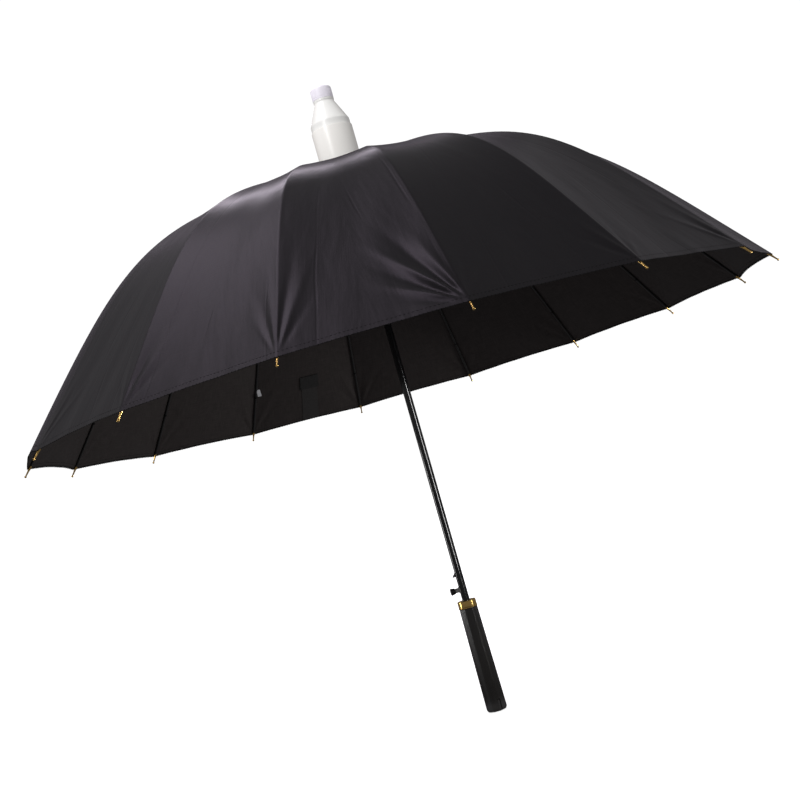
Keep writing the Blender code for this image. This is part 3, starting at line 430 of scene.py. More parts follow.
wrapTree, given, result = nodesTree(
    "wraps", [("Radius", "Float"), ("Thread", "Float"), ("Width", "Float"), ("Turns", "Float"),
              ("Material", "Material")])
helix = put(wrapTree, "GeometryNodeCurveSpiral",
            {"Resolution": 12, "Rotations": given["Turns"], "Start Radius": given["Radius"],
             "End Radius": given["Radius"], "Height": given["Width"]})
strand = put(wrapTree, "GeometryNodeCurvePrimitiveCircle", {"Resolution": 6, "Radius": given["Thread"]})
wound = put(wrapTree, "GeometryNodeCurveToMesh",
            {"Curve": helix.outputs[0], "Profile Curve": strand.outputs[0], "Fill Caps": True})
onPoints(wrapTree, given, result, wound.outputs[0])


def spreadOn(name, tree, places, headings, settings):
    # The tree's result on these points, as a plain mesh
    mesh = bpy.data.meshes.new(name)
    mesh.from_pydata([tuple(place) for place in places], [], [])
    layer = mesh.attributes.new("heading", "FLOAT_VECTOR", "POINT")
    layer.data.foreach_set("vector", np.asarray(headings, np.float32).ravel())
    item = bpy.data.objects.new(name, mesh)
    bpy.context.scene.collection.objects.link(item)
    modifier = item.modifiers.new("Nodes", "NODES")
    modifier.node_group = tree
    sockets = {socket.name: socket.identifier for socket in tree.interface.items_tree
               if socket.item_type == "SOCKET" and socket.in_out == "INPUT"}
    for key, value in settings.items():
        modifier[sockets[key]] = value
    bpy.context.view_layer.update()
    graph = bpy.context.evaluated_depsgraph_get()
    made = bpy.data.meshes.new_from_object(item.evaluated_get(graph), depsgraph=graph)
    bpy.data.objects.remove(item)
    return made


# Ribs

rib = {"count": 16, "hinge": 0.0115, "crown": 0.741, "reach": 0.500, "rootSlope": math.radians(7.9),
       "tipSlope": math.radians(49.9), "power": 2.88, "ease": 0.654, "steps": 800, "fold": math.radians(58.48),
       "radius": 0.0016, "start": 0.008, "tip": 0.015, "bladeLength": 0.014, "bladeThickness": 0.0014,
       "bladeEnd": 0.0015, "lug": 0.268, "lugDrop": 0.0045, "lugHalf": 0.0040, "lugEnd": 0.0017,
       "lugThickness": 0.0016}
turnStep = 2 * math.pi / rib["count"]
sinHalf, cosHalf = math.sin(turnStep / 2), math.cos(turnStep / 2)
share = (np.arange(rib["steps"]) + 0.5) / rib["steps"]
rising = share ** rib["power"]
falling = rib["ease"] * (1 - share) ** rib["power"]
ribSlope = rib["rootSlope"] + (rib["tipSlope"] - rib["rootSlope"]) * rising / (rising + falling)
ribLength = (rib["reach"] - rib["hinge"]) / np.cos(ribSlope).mean()
ribOut = np.concatenate([[0], np.cumsum(np.cos(ribSlope))]) * ribLength / rib["steps"]
ribDown = np.concatenate([[0], np.cumsum(np.sin(ribSlope))]) * ribLength / rib["steps"]
ribPlaces = np.linspace(0, ribLength, rib["steps"] + 1)
slopePlaces = share * ribLength


def slopeAt(distance):
    return np.interp(distance, slopePlaces, ribSlope)


def ribLine(distance, rise=0.0):
    # Radius and height of a rib's line, moved square to it by the rise
    slope = slopeAt(distance)
    out = np.interp(distance, ribPlaces, ribOut) + np.minimum(distance, 0)
    return (rib["hinge"] + out + rise * np.sin(slope),
            rib["crown"] - np.interp(distance, ribPlaces, ribDown) + rise * np.cos(slope))


def ribPlane(index):
    return Matrix.Rotation(index * turnStep, 4, "Z")


def ribMesh():
    stops = np.linspace(rib["start"], ribLength - rib["tip"], 64)
    bar = tube("bar", [(r, 0, z) for r, z in zip(*ribLine(stops))], [rib["radius"]] * len(stops), 14)
    slope = float(slopeAt(0.0))
    ahead = Vector((math.cos(slope), -math.sin(slope)))
    side = Vector((ahead.y, -ahead.x)) * -1
    root = Vector((rib["hinge"], rib["crown"]))
    outline = []
    for step in range(9):
        turn = math.pi * (0.5 + step / 8)
        outline.append(root + (ahead * math.cos(turn) + side * math.sin(turn)) * rib["bladeEnd"])
    for share in (0.0, 1.0):
        outline.append(root + ahead * rib["bladeLength"] - side * rib["bladeEnd"] * (0.9 - 1.8 * share))
    blade = plate("blade", [tuple(point) for point in outline], rib["bladeThickness"])
    slope = float(slopeAt(rib["lug"]))
    ahead = Vector((math.cos(slope), -math.sin(slope)))
    down = Vector((-math.sin(slope), -math.cos(slope)))
    centre = Vector([float(value) for value in ribLine(rib["lug"])])
    outline = [centre - ahead * rib["lugHalf"], centre + ahead * rib["lugHalf"]]
    for step in range(9):
        turn = math.pi * step / 8
        outline.append(centre + down * rib["lugDrop"]
                       + (ahead * math.cos(turn) + down * math.sin(turn)) * rib["lugEnd"])
    lug = plate("lug", [tuple(point) for point in outline], rib["lugThickness"])
    return joined("rib", [bar, blade, lug])


ferrule = {"length": 0.0160, "root": 0.00165, "collar": 0.0018, "waist": 0.00115, "neck": 0.0009, "ball": 0.0015,
           "end": 0.0006}


def ferruleMesh():
    # A capped gold sleeve that ends in a small ball, turned about the rib's last stretch
    outline = [(0.0, -ferrule["end"]), (ferrule["root"], -ferrule["end"], 0), (ferrule["collar"], 0.0006),
               (ferrule["collar"], 0.0016), (ferrule["root"], 0.0022)]
    neck = ferrule["length"] - ferrule["ball"] * 1.75
    outline += [(ferrule["waist"], neck * 0.55), (ferrule["neck"], neck)]
    for step in range(8):
        turn = math.radians(-48 + 138 * step / 7)
        outline.append((ferrule["ball"] * math.cos(turn), ferrule["length"] - ferrule["ball"]
                        + ferrule["ball"] * math.sin(turn)))
    outline = [point[:2] for point in outline]
    outline[-1] = (0.0, ferrule["length"])
    mesh = lathe("ferrule", outline, segments=20)
    start = ribLength - rib["tip"]
    near, far = (Vector((float(r), 0, float(z))) for r, z in (ribLine(start), ribLine(ribLength)))
    mesh.transform(Matrix.Translation(near) @ (far - near).to_track_quat("Z", "Y").to_matrix().to_4x4())
    return mesh


for index in range(rib["count"]):
    number = f"{index + 1:02d}"
    mesh = ribMesh()
    mesh.transform(ribPlane(index))
    addPiece("ribBar" + number, mesh, "rib_" + number, ribPaint, ["rib_" + number])
    mesh = ferruleMesh()
    mesh.transform(ribPlane(index))
    addPiece("ribFerrule" + number, mesh, "rib_" + number, goldPlate, angle=50.0)
print("ribs")


# Canopy

canopy = {"hubRadius": 0.0083, "hubEdge": 0.0145, "hubRise": 0.0044, "blendRadius": 0.030, "rise": 0.0025,
          "thickness": 0.0006, "setback": 0.010, "hemRise": 0.005, "hemBand": 0.050, "sagShare": 0.034, "sags": {11: 0.02, 12: -0.05, 13: 0.012},
          "crease": 0.0018, "columns": 30, "columnPower": 1.3, "waves": 7, "waveHeight": 0.00009,
          "closedShares": [0.50, 0.42, 0.345, 0.265, 0.195, 0.14, 0.10, 0.072], "meetShare": 0.15, "seed": 7}
hemEdge = ribLength - canopy["setback"]
hemStart = hemEdge - canopy["hemBand"]
# Folds that run up from a rib's tip: rib, side, degrees from the rib, length, height and width
tipFolds = [(0, -1, 9, 0.10, 0.0015, 0.0022), (0, -1, 18, 0.125, -0.0022, 0.0026), (0, -1, 28, 0.13, 0.0030, 0.0026),
            (0, -1, 38, 0.11, -0.0019, 0.0026), (0, -1, 49, 0.09, 0.0021, 0.0028), (0, -1, 62, 0.06, -0.0008, 0.0030), (0, 1, 14, 0.07, -0.0006, 0.0026),
            (0, 1, 30, 0.05, 0.0004, 0.0026), (15, 1, 6, 0.14, -0.0011, 0.0020), (15, 1, 14, 0.12, 0.0008, 0.0022),
            (15, 1, 25, 0.07, -0.0005, 0.0026), (15, -1, 6, 0.12, 0.0007, 0.0020), (15, -1, 14, 0.09, -0.0007, 0.0022),
            (15, -1, 23, 0.06, 0.0005, 0.0024), (1, -1, 12, 0.07, 0.0008, 0.0022), (1, -1, 27, 0.06, -0.0006, 0.0026),
            (1, 1, 12, 0.06, -0.0006, 0.0024), (1, 1, 28, 0.045, 0.0005, 0.0026), (14, 1, 9, 0.09, -0.0010, 0.0022),
            (14, 1, 20, 0.08, 0.0009, 0.0026), (14, 1, 34, 0.06, -0.0006, 0.0028), (14, -1, 12, 0.07, 0.0007, 0.0024),
            (14, -1, 26, 0.05, -0.0006, 0.0028)]
random = np.random.default_rng(canopy["seed"])
for index in range(2, 14):
    for side in (-1, 1):
        for step in range(3):
            tipFolds.append((index, side, 9 + 12 * step + random.uniform(-2, 3), random.uniform(0.045, 0.095),
                             random.uniform(0.0004, 0.0009) * (-1) ** step, 0.0026))
waveAcross = 2 * math.pi / random.uniform(0.035, 0.11, (rib["count"], canopy["waves"]))
waveAlong = 2 * math.pi / random.uniform(0.16, 0.5, (rib["count"], canopy["waves"]))
wavePhase = random.uniform(0, 2 * math.pi, (rib["count"], canopy["waves"]))


def hemAt(across):
    spread = np.abs(across)
    return hemEdge - canopy["hemRise"] * spread * (2 - spread)


def clothLine(distance):
    # The cloth's outer face over a rib: flat round the crown, then a fixed rise over the rib
    radius, height = ribLine(distance, canopy["rise"])
    plain, _ = ribLine(distance)
    mix = np.clip((plain - canopy["hubEdge"]) / (canopy["blendRadius"] - canopy["hubEdge"]), 0, 1)
    mix = mix * mix * (3 - 2 * mix)
    return plain + (radius - plain) * mix, rib["crown"] + canopy["hubRise"] * (1 - mix) + (height - rib["crown"]) * mix


def clothPoint(index, distance, across):
    # A point of the outer face; across runs from -1 to 1 between the middles of the gores beside the rib
    distance, across = np.broadcast_arrays(np.asarray(distance, float), np.asarray(across, float))
    spread, side = np.abs(across), np.where(across < 0, -1, 1)
    radius, height = clothLine(distance)
    half = radius * sinHalf * cosHalf
    gore = (index + np.where(across < 0, -1, 0)) % rib["count"]
    fromMiddle = half * (across - side)
    bow = spread * (2 - spread)
    far = np.clip(distance / ribLength, 0, 1)
    sag = np.array([canopy["sags"].get(number, canopy["sagShare"]) for number in range(rib["count"])])[gore]
    move = -sag * 2 * half * bow * (1 - 0.45 * far ** 4)
    ripple = np.zeros_like(distance)
    for wave in range(canopy["waves"]):
        ripple += np.sin(fromMiddle * waveAcross[gore, wave] + distance * waveAlong[gore, wave] + wavePhase[gore, wave])
    move += canopy["waveHeight"] * ripple * bow * far ** 0.5
    up, aside = hemEdge - distance, np.abs(across) * half
    reach, angle = np.hypot(up, aside), np.arctan2(aside, up)
    for foldRib, foldSide, lean, length, tall, wide in tipFolds:
        if foldRib != index:
            continue
        off = reach * np.sin(angle - math.radians(lean)) / (wide + 0.035 * reach)
        fade = np.clip(reach / 0.03, 0, 1) ** 1.5 * np.exp(-(reach / length) ** 3) * np.clip(1.6 - 1.6 * spread, 0, 1)
        move += np.where(side == foldSide, tall * np.exp(-off * off) * fade, 0.0) * np.clip(aside / 0.004, 0, 1)
    slope = slopeAt(distance)
    middle = turnStep * side / 2
    x = radius * (1 - spread * sinHalf ** 2) + move * np.sin(slope) * np.cos(middle)
    y = across * half + move * np.sin(slope) * np.sin(middle)
    z = height + move * np.cos(slope)
    turn = index * turnStep
    return np.stack([x * math.cos(turn) - y * math.sin(turn), x * math.sin(turn) + y * math.cos(turn), z], -1)


def clothNormal(index, distance, across):
    step, turn = 0.0002, 0.002
    along = clothPoint(index, distance + step, across) - clothPoint(index, distance - step, across)
    aside = clothPoint(index, distance, across + turn) - clothPoint(index, distance, across - turn)
    normal = np.cross(along, aside)
    return normal / np.linalg.norm(normal, axis=-1, keepdims=True)


def closedShare(distance):
    # How wide the folded cloth is at this distance, as a share of its open width
    out = np.interp(distance, ribPlaces, ribOut)
    down = np.interp(distance, ribPlaces, ribDown)
    folded = rib["hinge"] + out * math.cos(rib["fold"]) - down * math.sin(rib["fold"])
    return folded / (rib["hinge"] + out)


hubDistances = np.array([canopy["hubRadius"] - rib["hinge"], 0.0, 0.003, 0.006, 0.0095, 0.0135, 0.0187])
probe = np.linspace(hubDistances[-1], hemEdge, 3000)
cuts = [float(hubDistances[-1])]
cuts += [float(probe[int(np.argmax(closedShare(probe) < value))]) for value in canopy["closedShares"]]
cuts.append(hemEdge)
rows, bandRows = list(hubDistances), [0, len(hubDistances) - 1]
for low, high in zip(cuts, cuts[1:]):
    spacing = float(np.interp((low + high) / 2, [0.0, 0.35, 0.5, 0.59], [0.014, 0.009, 0.0036, 0.0028]))
    stops = np.linspace(low, high, max(2, math.ceil((high - low) / spacing)) + 1)[1:]
    rows += list(stops)
    bandRows.append(len(rows) - 1)
rows = np.array(rows)
creaseShares = np.minimum(0.3, canopy["crease"] / (clothLine(rows)[0] * sinHalf * cosHalf))
columnShares = np.linspace(0, 1, canopy["columns"] + 1) ** canopy["columnPower"]
halfColumns = np.concatenate(
    [np.zeros((len(rows), 1)), creaseShares[:, None] + (1 - creaseShares[:, None]) * columnShares[None]], 1)
acrossGrid = np.concatenate([-halfColumns[:, :0:-1], halfColumns], 1)
bandShare = np.clip((rows - hemStart) / canopy["hemBand"], 0, 1)[:, None]
distanceGrid = np.where(rows[:, None] > hemStart, hemStart + (hemAt(acrossGrid) - hemStart) * bandShare, rows[:, None])


def solidGrid(name, outer, inner, outerNormals, innerNormals, laid, edges, materials):
    # A closed thin solid between two grids of points, with smooth faces that meet their neighbours' exactly
    high, wide = outer.shape[:2]
    count = high * wide
    number = np.arange(count).reshape(high, wide)
    a, b, c, d = number[:-1, :-1], number[1:, :-1], number[1:, 1:], number[:-1, 1:]
    top = np.stack([a, b, c, d], -1).reshape(-1, 4)
    bottom = np.stack([d, c, b, a], -1).reshape(-1, 4) + count
    ring = np.concatenate([number[:-1, 0], number[-1, :-1], number[:0:-1, -1], number[0, :0:-1]])
    after = np.roll(ring, -1)
    walls = np.stack([after, ring, ring + count, after + count], -1)
    faces = np.concatenate([top, bottom, walls])
    points = np.concatenate([outer.reshape(-1, 3), inner.reshape(-1, 3)])
    mesh = bpy.data.meshes.new(name)
    mesh.vertices.add(len(points))
    mesh.vertices.foreach_set("co", points.ravel())
    mesh.loops.add(faces.size)
    mesh.loops.foreach_set("vertex_index", faces.ravel().astype(np.int32))
    mesh.polygons.add(len(faces))
    mesh.polygons.foreach_set("loop_start", np.arange(0, faces.size, 4, dtype=np.int32))
    kinds = np.zeros(len(faces), np.int32)
    kinds[len(top):2 * len(top)] = 1
    for material in materials:
        mesh.materials.append(material)
    mesh.update(calc_edges=True)
    mesh.polygons.foreach_set("material_index", np.minimum(kinds, len(materials) - 1))
    mesh.shade_smooth()
    onEdge = np.zeros(2 * count, bool)
    onEdge[ring] = onEdge[ring + count] = True
    ends = np.empty(2 * len(mesh.edges), np.int32)
    mesh.edges.foreach_get("vertices", ends)
    sharp = mesh.attributes.new("sharp_edge", "BOOLEAN", "EDGE")
    sharp.data.foreach_set("value", onEdge[ends.reshape(-1, 2)].all(1))
    normals = np.concatenate([outerNormals.reshape(-1, 3), innerNormals.reshape(-1, 3)])[faces]
    wallFaces = faces[2 * len(top):]
    corners = points[wallFaces]
    flat = np.cross(corners[:, 2] - corners[:, 0], corners[:, 3] - corners[:, 1])
    flat /= np.maximum(np.linalg.norm(flat, axis=1, keepdims=True), 1e-12)
    normals[2 * len(top):] = flat[:, None]
    for label, values in (("cloth", laid), ("edges", edges)):
        if values is not None:
            layer = mesh.uv_layers.new(name=label)
            flatValues = np.concatenate([values.reshape(-1, 2)] * 2)
            layer.data.foreach_set("uv", flatValues[faces].astype(np.float32).ravel())
    mesh.normals_split_custom_set([tuple(value) for value in normals.reshape(-1, 3)])
    return mesh


sheets = []
for index in range(rib["count"]):
    number = f"{index + 1:02d}"
    outer = clothPoint(index, distanceGrid, acrossGrid)
    normal = clothNormal(index, distanceGrid, acrossGrid)
    inner = outer - normal * canopy["thickness"]
    half = clothLine(distanceGrid)[0] * sinHalf * cosHalf
    aside = acrossGrid * half
    edges = np.stack([hemAt(acrossGrid) - distanceGrid, np.abs(aside)], -1)
    laid = np.stack([index * 0.25 + aside, distanceGrid], -1)
    for band, (low, high) in enumerate(zip(bandRows, bandRows[1:])):
        cut = slice(low, high + 1)
        mesh = solidGrid(f"canopy{number}band{band}", outer[cut], inner[cut], normal[cut], -normal[cut],
                         laid[cut], edges[cut], [clothOutside, clothInside])
        middle = float((rows[low] + rows[high]) / 2)
        radius, height = clothLine(np.array(middle))
        piece = addPiece(mesh.name, mesh, "rib_" + number, None, ["canopy_panel_" + number], angle=None)
        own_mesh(piece)
        width = float(2 * half[high, -1])
        length = float(np.linalg.norm(np.diff(outer[cut, canopy["columns"] + 1], axis=0), axis=1).sum())
        across = (2 * half[cut, -1]).mean()
        sheets.append([piece.name, round(width, 4), round(length, 4)]) if index == 0 else None
print("canopy", len(rows), "rows", len(bandRows) - 1, "bands", sheets)


def squashOnRib(piece):
    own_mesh(piece)


stitch = {"fromHem": 0.0065, "pitch": 0.0042, "radius": 0.00022, "length": 0.0012, "whipRadius": 0.0005,
          "whipLength": 0.0012, "whipFrom": 0.0002}
wrap = {"places": [0.11, 0.20, 0.33, 0.42, 0.51], "radius": 0.0021, "thread": 0.0002, "width": 0.0016, "turns": 4.0}
for index in range(rib["count"]):
    number = f"{index + 1:02d}"
    halfHem = rib["reach"] * sinHalf * cosHalf
    count = int(halfHem / stitch["pitch"])
    across = (np.arange(-count, count) + 0.5) / count
    distance = hemAt(across) - stitch["fromHem"]
    place = clothPoint(index, distance, across)
    lift = clothNormal(index, distance, across)
    heading = clothPoint(index, distance, across + 0.01) - clothPoint(index, distance, across - 0.01)
    places = np.concatenate([place, place - lift * canopy["thickness"]])
    mesh = spreadOn("hemStitches" + number, grainTree, places, np.concatenate([heading, heading]),
                    {"Radius": stitch["radius"], "Length": stitch["length"], "Segments": 6, "Material": thread})
    piece = addPiece(mesh.name, mesh, "rib_" + number, None, angle=None)
    squashOnRib(piece)
    place = clothPoint(index, hemAt(across) - stitch["whipFrom"], across)
    lift = clothNormal(index, hemAt(across) - stitch["whipFrom"], across)
    heading = np.cross(heading, lift)
    mesh = spreadOn("hemWhip" + number, grainTree, place - lift * canopy["thickness"] * 0.5, heading,
                    {"Radius": stitch["whipRadius"], "Length": stitch["whipLength"], "Segments": 6, "Material": thread})
    piece = addPiece(mesh.name, mesh, "rib_" + number, None, angle=None)
    squashOnRib(piece)
    spots = np.array(wrap["places"])
    radius, height = ribLine(spots)
    slope = slopeAt(spots)
    turn = index * turnStep
    places = np.stack([radius * math.cos(turn), radius * math.sin(turn), height], -1)
    headings = np.stack([np.cos(slope) * math.cos(turn), np.cos(slope) * math.sin(turn), -np.sin(slope)], -1)
    mesh = spreadOn("ribTies" + number, wrapTree, places, headings,
                    {"Radius": wrap["radius"], "Thread": wrap["thread"], "Width": wrap["width"],
                     "Turns": wrap["turns"], "Material": thread})
    addPiece(mesh.name, mesh, "rib_" + number, None, angle=None)
print("stitches and ties")


def patch(name, index, distances, acrosses, lift, thickness, material):
    # A flat piece sewn to the inner face, lift below it
    acrossRow, distanceColumn = np.meshgrid(acrosses, distances)
    normal = clothNormal(index, distanceColumn, acrossRow)
    outer = clothPoint(index, distanceColumn, acrossRow) - normal * (canopy["thickness"] + lift)
    mesh = solidGrid(name, outer, outer - normal * thickness, normal, -normal, None, None, [material])
    piece = addPiece(name, mesh, f"rib_{index + 1:02d}", None, angle=None)
    squashOnRib(piece)
    width = float(np.ptp(acrosses) * clothLine(np.array(np.mean(distances)))[0] * sinHalf * cosHalf)
    return piece, (width, float(np.ptp(distances)))


strap = {"left": 0.77, "right": -0.87, "top": 0.4917, "foot": 0.5153, "gap": 0.0001, "thick": 0.0014,
         "tailLeft": 0.80, "tailRight": -0.90, "tailThick": 0.0005}
tailEnd = float(hemAt(1.0)) - 0.001
for name, index, first, last, top, foot, thick in (
        ("strapPadLeft", 8, strap["left"], 1.0, strap["top"], strap["foot"], strap["thick"]),
        ("strapPadRight", 9, -1.0, strap["right"], strap["top"], strap["foot"], strap["thick"]),
        ("strapTailLeft", 8, strap["tailLeft"], 1.0, strap["foot"], tailEnd, strap["tailThick"]),
        ("strapTailRight", 9, -1.0, strap["tailRight"], strap["foot"], tailEnd, strap["tailThick"])):
    piece, flat = patch(name, index, np.linspace(top, foot, 8), np.linspace(first, last, 8), strap["gap"], thick,
                        tailCloth if "Tail" in name else strapCloth)
print("strap")

tag = {"rib": 9, "distance": 0.497, "width": 0.0065, "length": 0.011, "thickness": 0.0004, "away": 0.0032}
slope = float(slopeAt(tag["distance"]))
radius, height = (float(value) for value in ribLine(tag["distance"]))
outline = softened([(-tag["width"] / 2, 0, 0.0004), (tag["width"] / 2, 0, 0.0004),
                    (tag["width"] / 2, -tag["length"], 0.0008), (-tag["width"] / 2, -tag["length"], 0.0008)], True, 4)
mesh = plate("tag", outline, tag["thickness"])
mesh.transform(ribPlane(tag["rib"]) @ Matrix.Translation((radius, -tag["away"], height))
               @ Matrix.Rotation(math.radians(90), 4, "Z") @ Matrix.Rotation(math.radians(0), 4, "Y"))
addPiece("clothTag", mesh, "rib_10", tagCloth, angle=40.0)
print("tag")


# Handle, ring, button

handle = {"turn": math.radians(14), "length": 0.138, "foot": 0.027, "top": 0.024, "sides": 8, "edgeRound": 0.0016, "footRound": 0.0052,
          "topRound": 0.0006, "grooveWidth": 0.0036, "grooveHeight": 0.015, "grooveDepth": 0.0030}


def octagon(width, rounding, steps=5):
    corner = width / 2 / math.cos(math.pi / handle["sides"])
    outline = []
    for side in range(handle["sides"]):
        turn = 2 * math.pi * side / handle["sides"]
        outline.append((corner * math.cos(turn), corner * math.sin(turn), rounding))
    return softened(outline, True, steps)


def handleMesh():
    levels = []
    for step in range(9):
        turn = math.pi / 2 * step / 8
        levels.append((handle["footRound"] * (1 - math.sin(turn)), handle["footRound"] * (1 - math.cos(turn))))
    levels = [(inset, height) for height, inset in levels]
    levels = sorted((height, inset) for inset, height in
                    [(handle["footRound"] * (1 - math.sin(math.pi / 2 * step / 8)),
                      handle["footRound"] * (1 - math.cos(math.pi / 2 * step / 8))) for step in range(9)])
    levels += [(handle["length"] * step / 12, 0.0) for step in range(1, 12)]
    levels += [(handle["length"] - handle["topRound"], 0.0), (handle["length"], handle["topRound"])]
    points, faces = [], []
    for height, inset in levels:
        width = handle["foot"] + (handle["top"] - handle["foot"]) * height / handle["length"] - 2 * inset
        ring = octagon(width, handle["edgeRound"] * max(0.35, 1 - inset / handle["footRound"] * 0.5))
        points += [(x, y, height) for x, y in ring]
    count = len(ring)
    for level in range(len(levels) - 1):
        for step in range(count):
            low, high = level * count + step, level * count + (step + 1) % count
            faces.append((low, high, high + count, low + count))
    faces += [tuple(range(count)), tuple(range(len(points) - count, len(points)))]
    return meshOf("handleGrip", points, faces)


reach = handle["foot"] / 2 / math.cos(math.pi / 8)
outline = softened([(reach - handle["grooveDepth"], -0.01, 0), (reach + 0.01, -0.01, 0),
                    (reach + 0.01, handle["grooveHeight"] + 0.006, 0),
                    (reach - handle["grooveDepth"], handle["grooveHeight"], 0.002)], True)
groove = plate("groove", outline, handle["grooveWidth"])
groove = changed(groove, [("BEVEL", {"width": 0.0005, "segments": 3, "limit_method": "ANGLE"})])
cutter = bpy.data.objects.new("grooveCutter", groove)
bpy.context.scene.collection.objects.link(cutter)
grip = changed(handleMesh(), [("BOOLEAN", {"operation": "DIFFERENCE", "object": cutter, "solver": "EXACT"})])
bpy.data.objects.remove(cutter)
grip.transform(Matrix.Rotation(handle["turn"], 4, "Z"))
addPiece("handleGrip", grip, "frame", handleGloss, ["handle"], angle=24.0)

ring = {"radius": 0.0127, "bore": 0.0052, "foot": 0.1382, "top": 0.1481, "round": 0.0011, "step": 0.00035}
outline = [(ring["bore"], ring["foot"], 0), (ring["radius"], ring["foot"], 0.0004),
           (ring["radius"], ring["foot"] + 0.0014, 0.0002), (ring["radius"] - ring["step"], ring["foot"] + 0.0019, 0.0002),
           (ring["radius"] - ring["step"], ring["top"], ring["round"]), (ring["bore"], ring["top"], 0.0003)]
addPiece("handleRing", lathe("handleRing", softened(outline, True), closed=True), "frame", goldPlate,
         ["handle_ring"], angle=50.0)

shaft = {"radius": 0.005, "bore": 0.0042, "foot": 0.0303, "top": 0.8500, "bead": 0.007, "beadFoot": 0.8290,
         "beadTop": 0.8335, "windowFoot": 0.1780, "windowTop": 0.1900, "windowHalf": 0.0015, "hole": 0.0015}
outline = [(0.0, shaft["top"], 0), (shaft["bore"], shaft["top"], 0.0004), (shaft["radius"], shaft["top"] - 0.0008, 0.0004),
           (shaft["radius"], shaft["beadTop"], 0), (shaft["bead"], shaft["beadTop"], 0.0006),
           (shaft["bead"], shaft["beadFoot"] + 0.002, 0.0006), (shaft["radius"], shaft["beadFoot"], 0.001),
           (shaft["radius"], shaft["foot"], 0), (shaft["bore"], shaft["foot"], 0),
           (shaft["bore"], shaft["top"] - 0.0016, 0), (0.0, shaft["top"] - 0.0016, 0)]
tubeMesh = lathe("shaftTube", softened(outline, False))
window = plate("window", [(-shaft["windowHalf"], shaft["windowFoot"]), (shaft["windowHalf"], shaft["windowFoot"]),
                          (shaft["windowHalf"], shaft["windowTop"]), (-shaft["windowHalf"], shaft["windowTop"])], 0.004)
window.transform(Matrix.Translation((0, -0.0045, 0)))
pinHole = lathe("pinHole", [(0.0, 0.0025), (shaft["hole"], 0.0025), (shaft["hole"], 0.0065), (0.0, 0.0065)], segments=32,
                place=Matrix.Translation((0, 0, 0.163)) @ Matrix.Rotation(math.radians(90), 4, "X"))
for cut in (window, pinHole):
    cutter = bpy.data.objects.new(cut.name, cut)
    bpy.context.scene.collection.objects.link(cutter)
    tubeMesh = changed(tubeMesh, [("BOOLEAN", {"operation": "DIFFERENCE", "object": cutter, "solver": "EXACT"})])
    bpy.data.objects.remove(cutter)
addPiece("shaftTube", tubeMesh, "frame", blackPaint, ["shaft"], angle=30.0)

button = {"height": 0.163, "collar": 0.0030, "saddle": 0.0040, "reach": 0.0105, "gap": 0.0003, "length": 0.0060,
          "head": 0.0047, "neck": 0.0038, "round": 0.0008, "depth": 0.0033, "pin": 0.0012, "pinEnd": 0.0052,
          "hole": 0.0015}
sideways = Matrix.Translation((0, 0, button["height"])) @ Matrix.Rotation(math.radians(90), 4, "X")
outline = [(button["hole"], 0.0040, 0), (button["saddle"], 0.0040, 0), (button["saddle"], 0.0052, 0.0006),
           (button["collar"], 0.0064, 0.0008), (button["collar"], button["reach"], 0.0003),
           (button["hole"], button["reach"], 0)]
mesh = lathe("buttonCollar", softened(outline, True), closed=True, segments=48, place=sideways)
addPiece("buttonCollar", mesh, "frame", greyPlastic, ["button_collar"], angle=50.0)
start = button["reach"] + button["gap"]
outline = [(0.0, button["pinEnd"], 0), (button["pin"], button["pinEnd"], 0),
           (button["pin"], start + button["depth"], 0), (button["collar"] + button["gap"], start + button["depth"], 0),
           (button["collar"] + button["gap"], start, 0), (button["neck"], start, 0.0002),
           (button["head"], start + button["length"] * 0.8, 0.0008),
           (button["head"] * 0.96, start + button["length"], button["round"]), (0.0, start + button["length"], 0)]
addPiece("buttonHead", lathe("buttonHead", softened(outline, False), segments=48, place=sideways), "button",
         blackPlastic, ["release_button"], angle=50.0)
print("handle, ring and button")


# Drip cover

cover = {"outer": 0.0280, "wall": 0.0005, "foot": 0.7430, "edge": 0.7990, "lip": 0.0010, "run": 0.0002,
         "flare": 0.0273, "flareFoot": 0.7529, "flareTop": 0.7559, "body": 0.0268, "shoulder": 0.8080,
         "shoulderRound": 0.0045, "neckFoot": 0.8370, "neck": 0.0128, "neckTop": 0.8555, "web": 0.8338,
         "webTop": 0.8353, "hole": 0.0055, "bead": 0.0142, "beadFoot": 0.8387, "beadTop": 0.8410}
outline = [(cover["outer"], cover["foot"], 0.0002), (cover["outer"], cover["edge"], 0.0003),
           (cover["outer"] - 0.0010, cover["edge"], 0.0002), (cover["outer"] - 0.0010, cover["edge"] - cover["lip"], 0),
           (cover["outer"] - cover["wall"], cover["edge"] - cover["lip"], 0),
           (cover["outer"] - cover["wall"], cover["foot"], 0)]
addPiece("coverOuter", lathe("coverOuter", softened(outline, True), closed=True), "frame", frostedPlastic,
         ["cover_outer_section"], angle=50.0)
wall = cover["wall"]
outline = [(cover["flare"], cover["flareFoot"], 0), (cover["flare"], cover["flareTop"] - 0.0005, 0),
           (cover["body"], cover["flareTop"], 0), (cover["body"], cover["shoulder"], cover["shoulderRound"]),
           (cover["bead"] - 0.0006, cover["neckFoot"], 0.003), (cover["bead"], cover["beadFoot"], 0.001),
           (cover["bead"], cover["beadTop"], 0.0002),
           (cover["neck"], cover["beadTop"], 0), (cover["neck"], cover["neckTop"], 0),
           (cover["neck"] - 0.0009, cover["neckTop"], 0), (cover["neck"] - 0.0009, cover["webTop"], 0),
           (cover["hole"], cover["webTop"], 0), (cover["hole"], cover["web"], 0),
           (cover["neck"] - 0.0009, cover["web"], 0), (cover["body"] - wall, cover["shoulder"] - 0.001, 0.003),
           (cover["body"] - wall, cover["flareTop"], 0), (cover["flare"] - wall, cover["flareFoot"] + 0.002, 0),
           (cover["flare"] - wall, cover["flareFoot"], 0)]
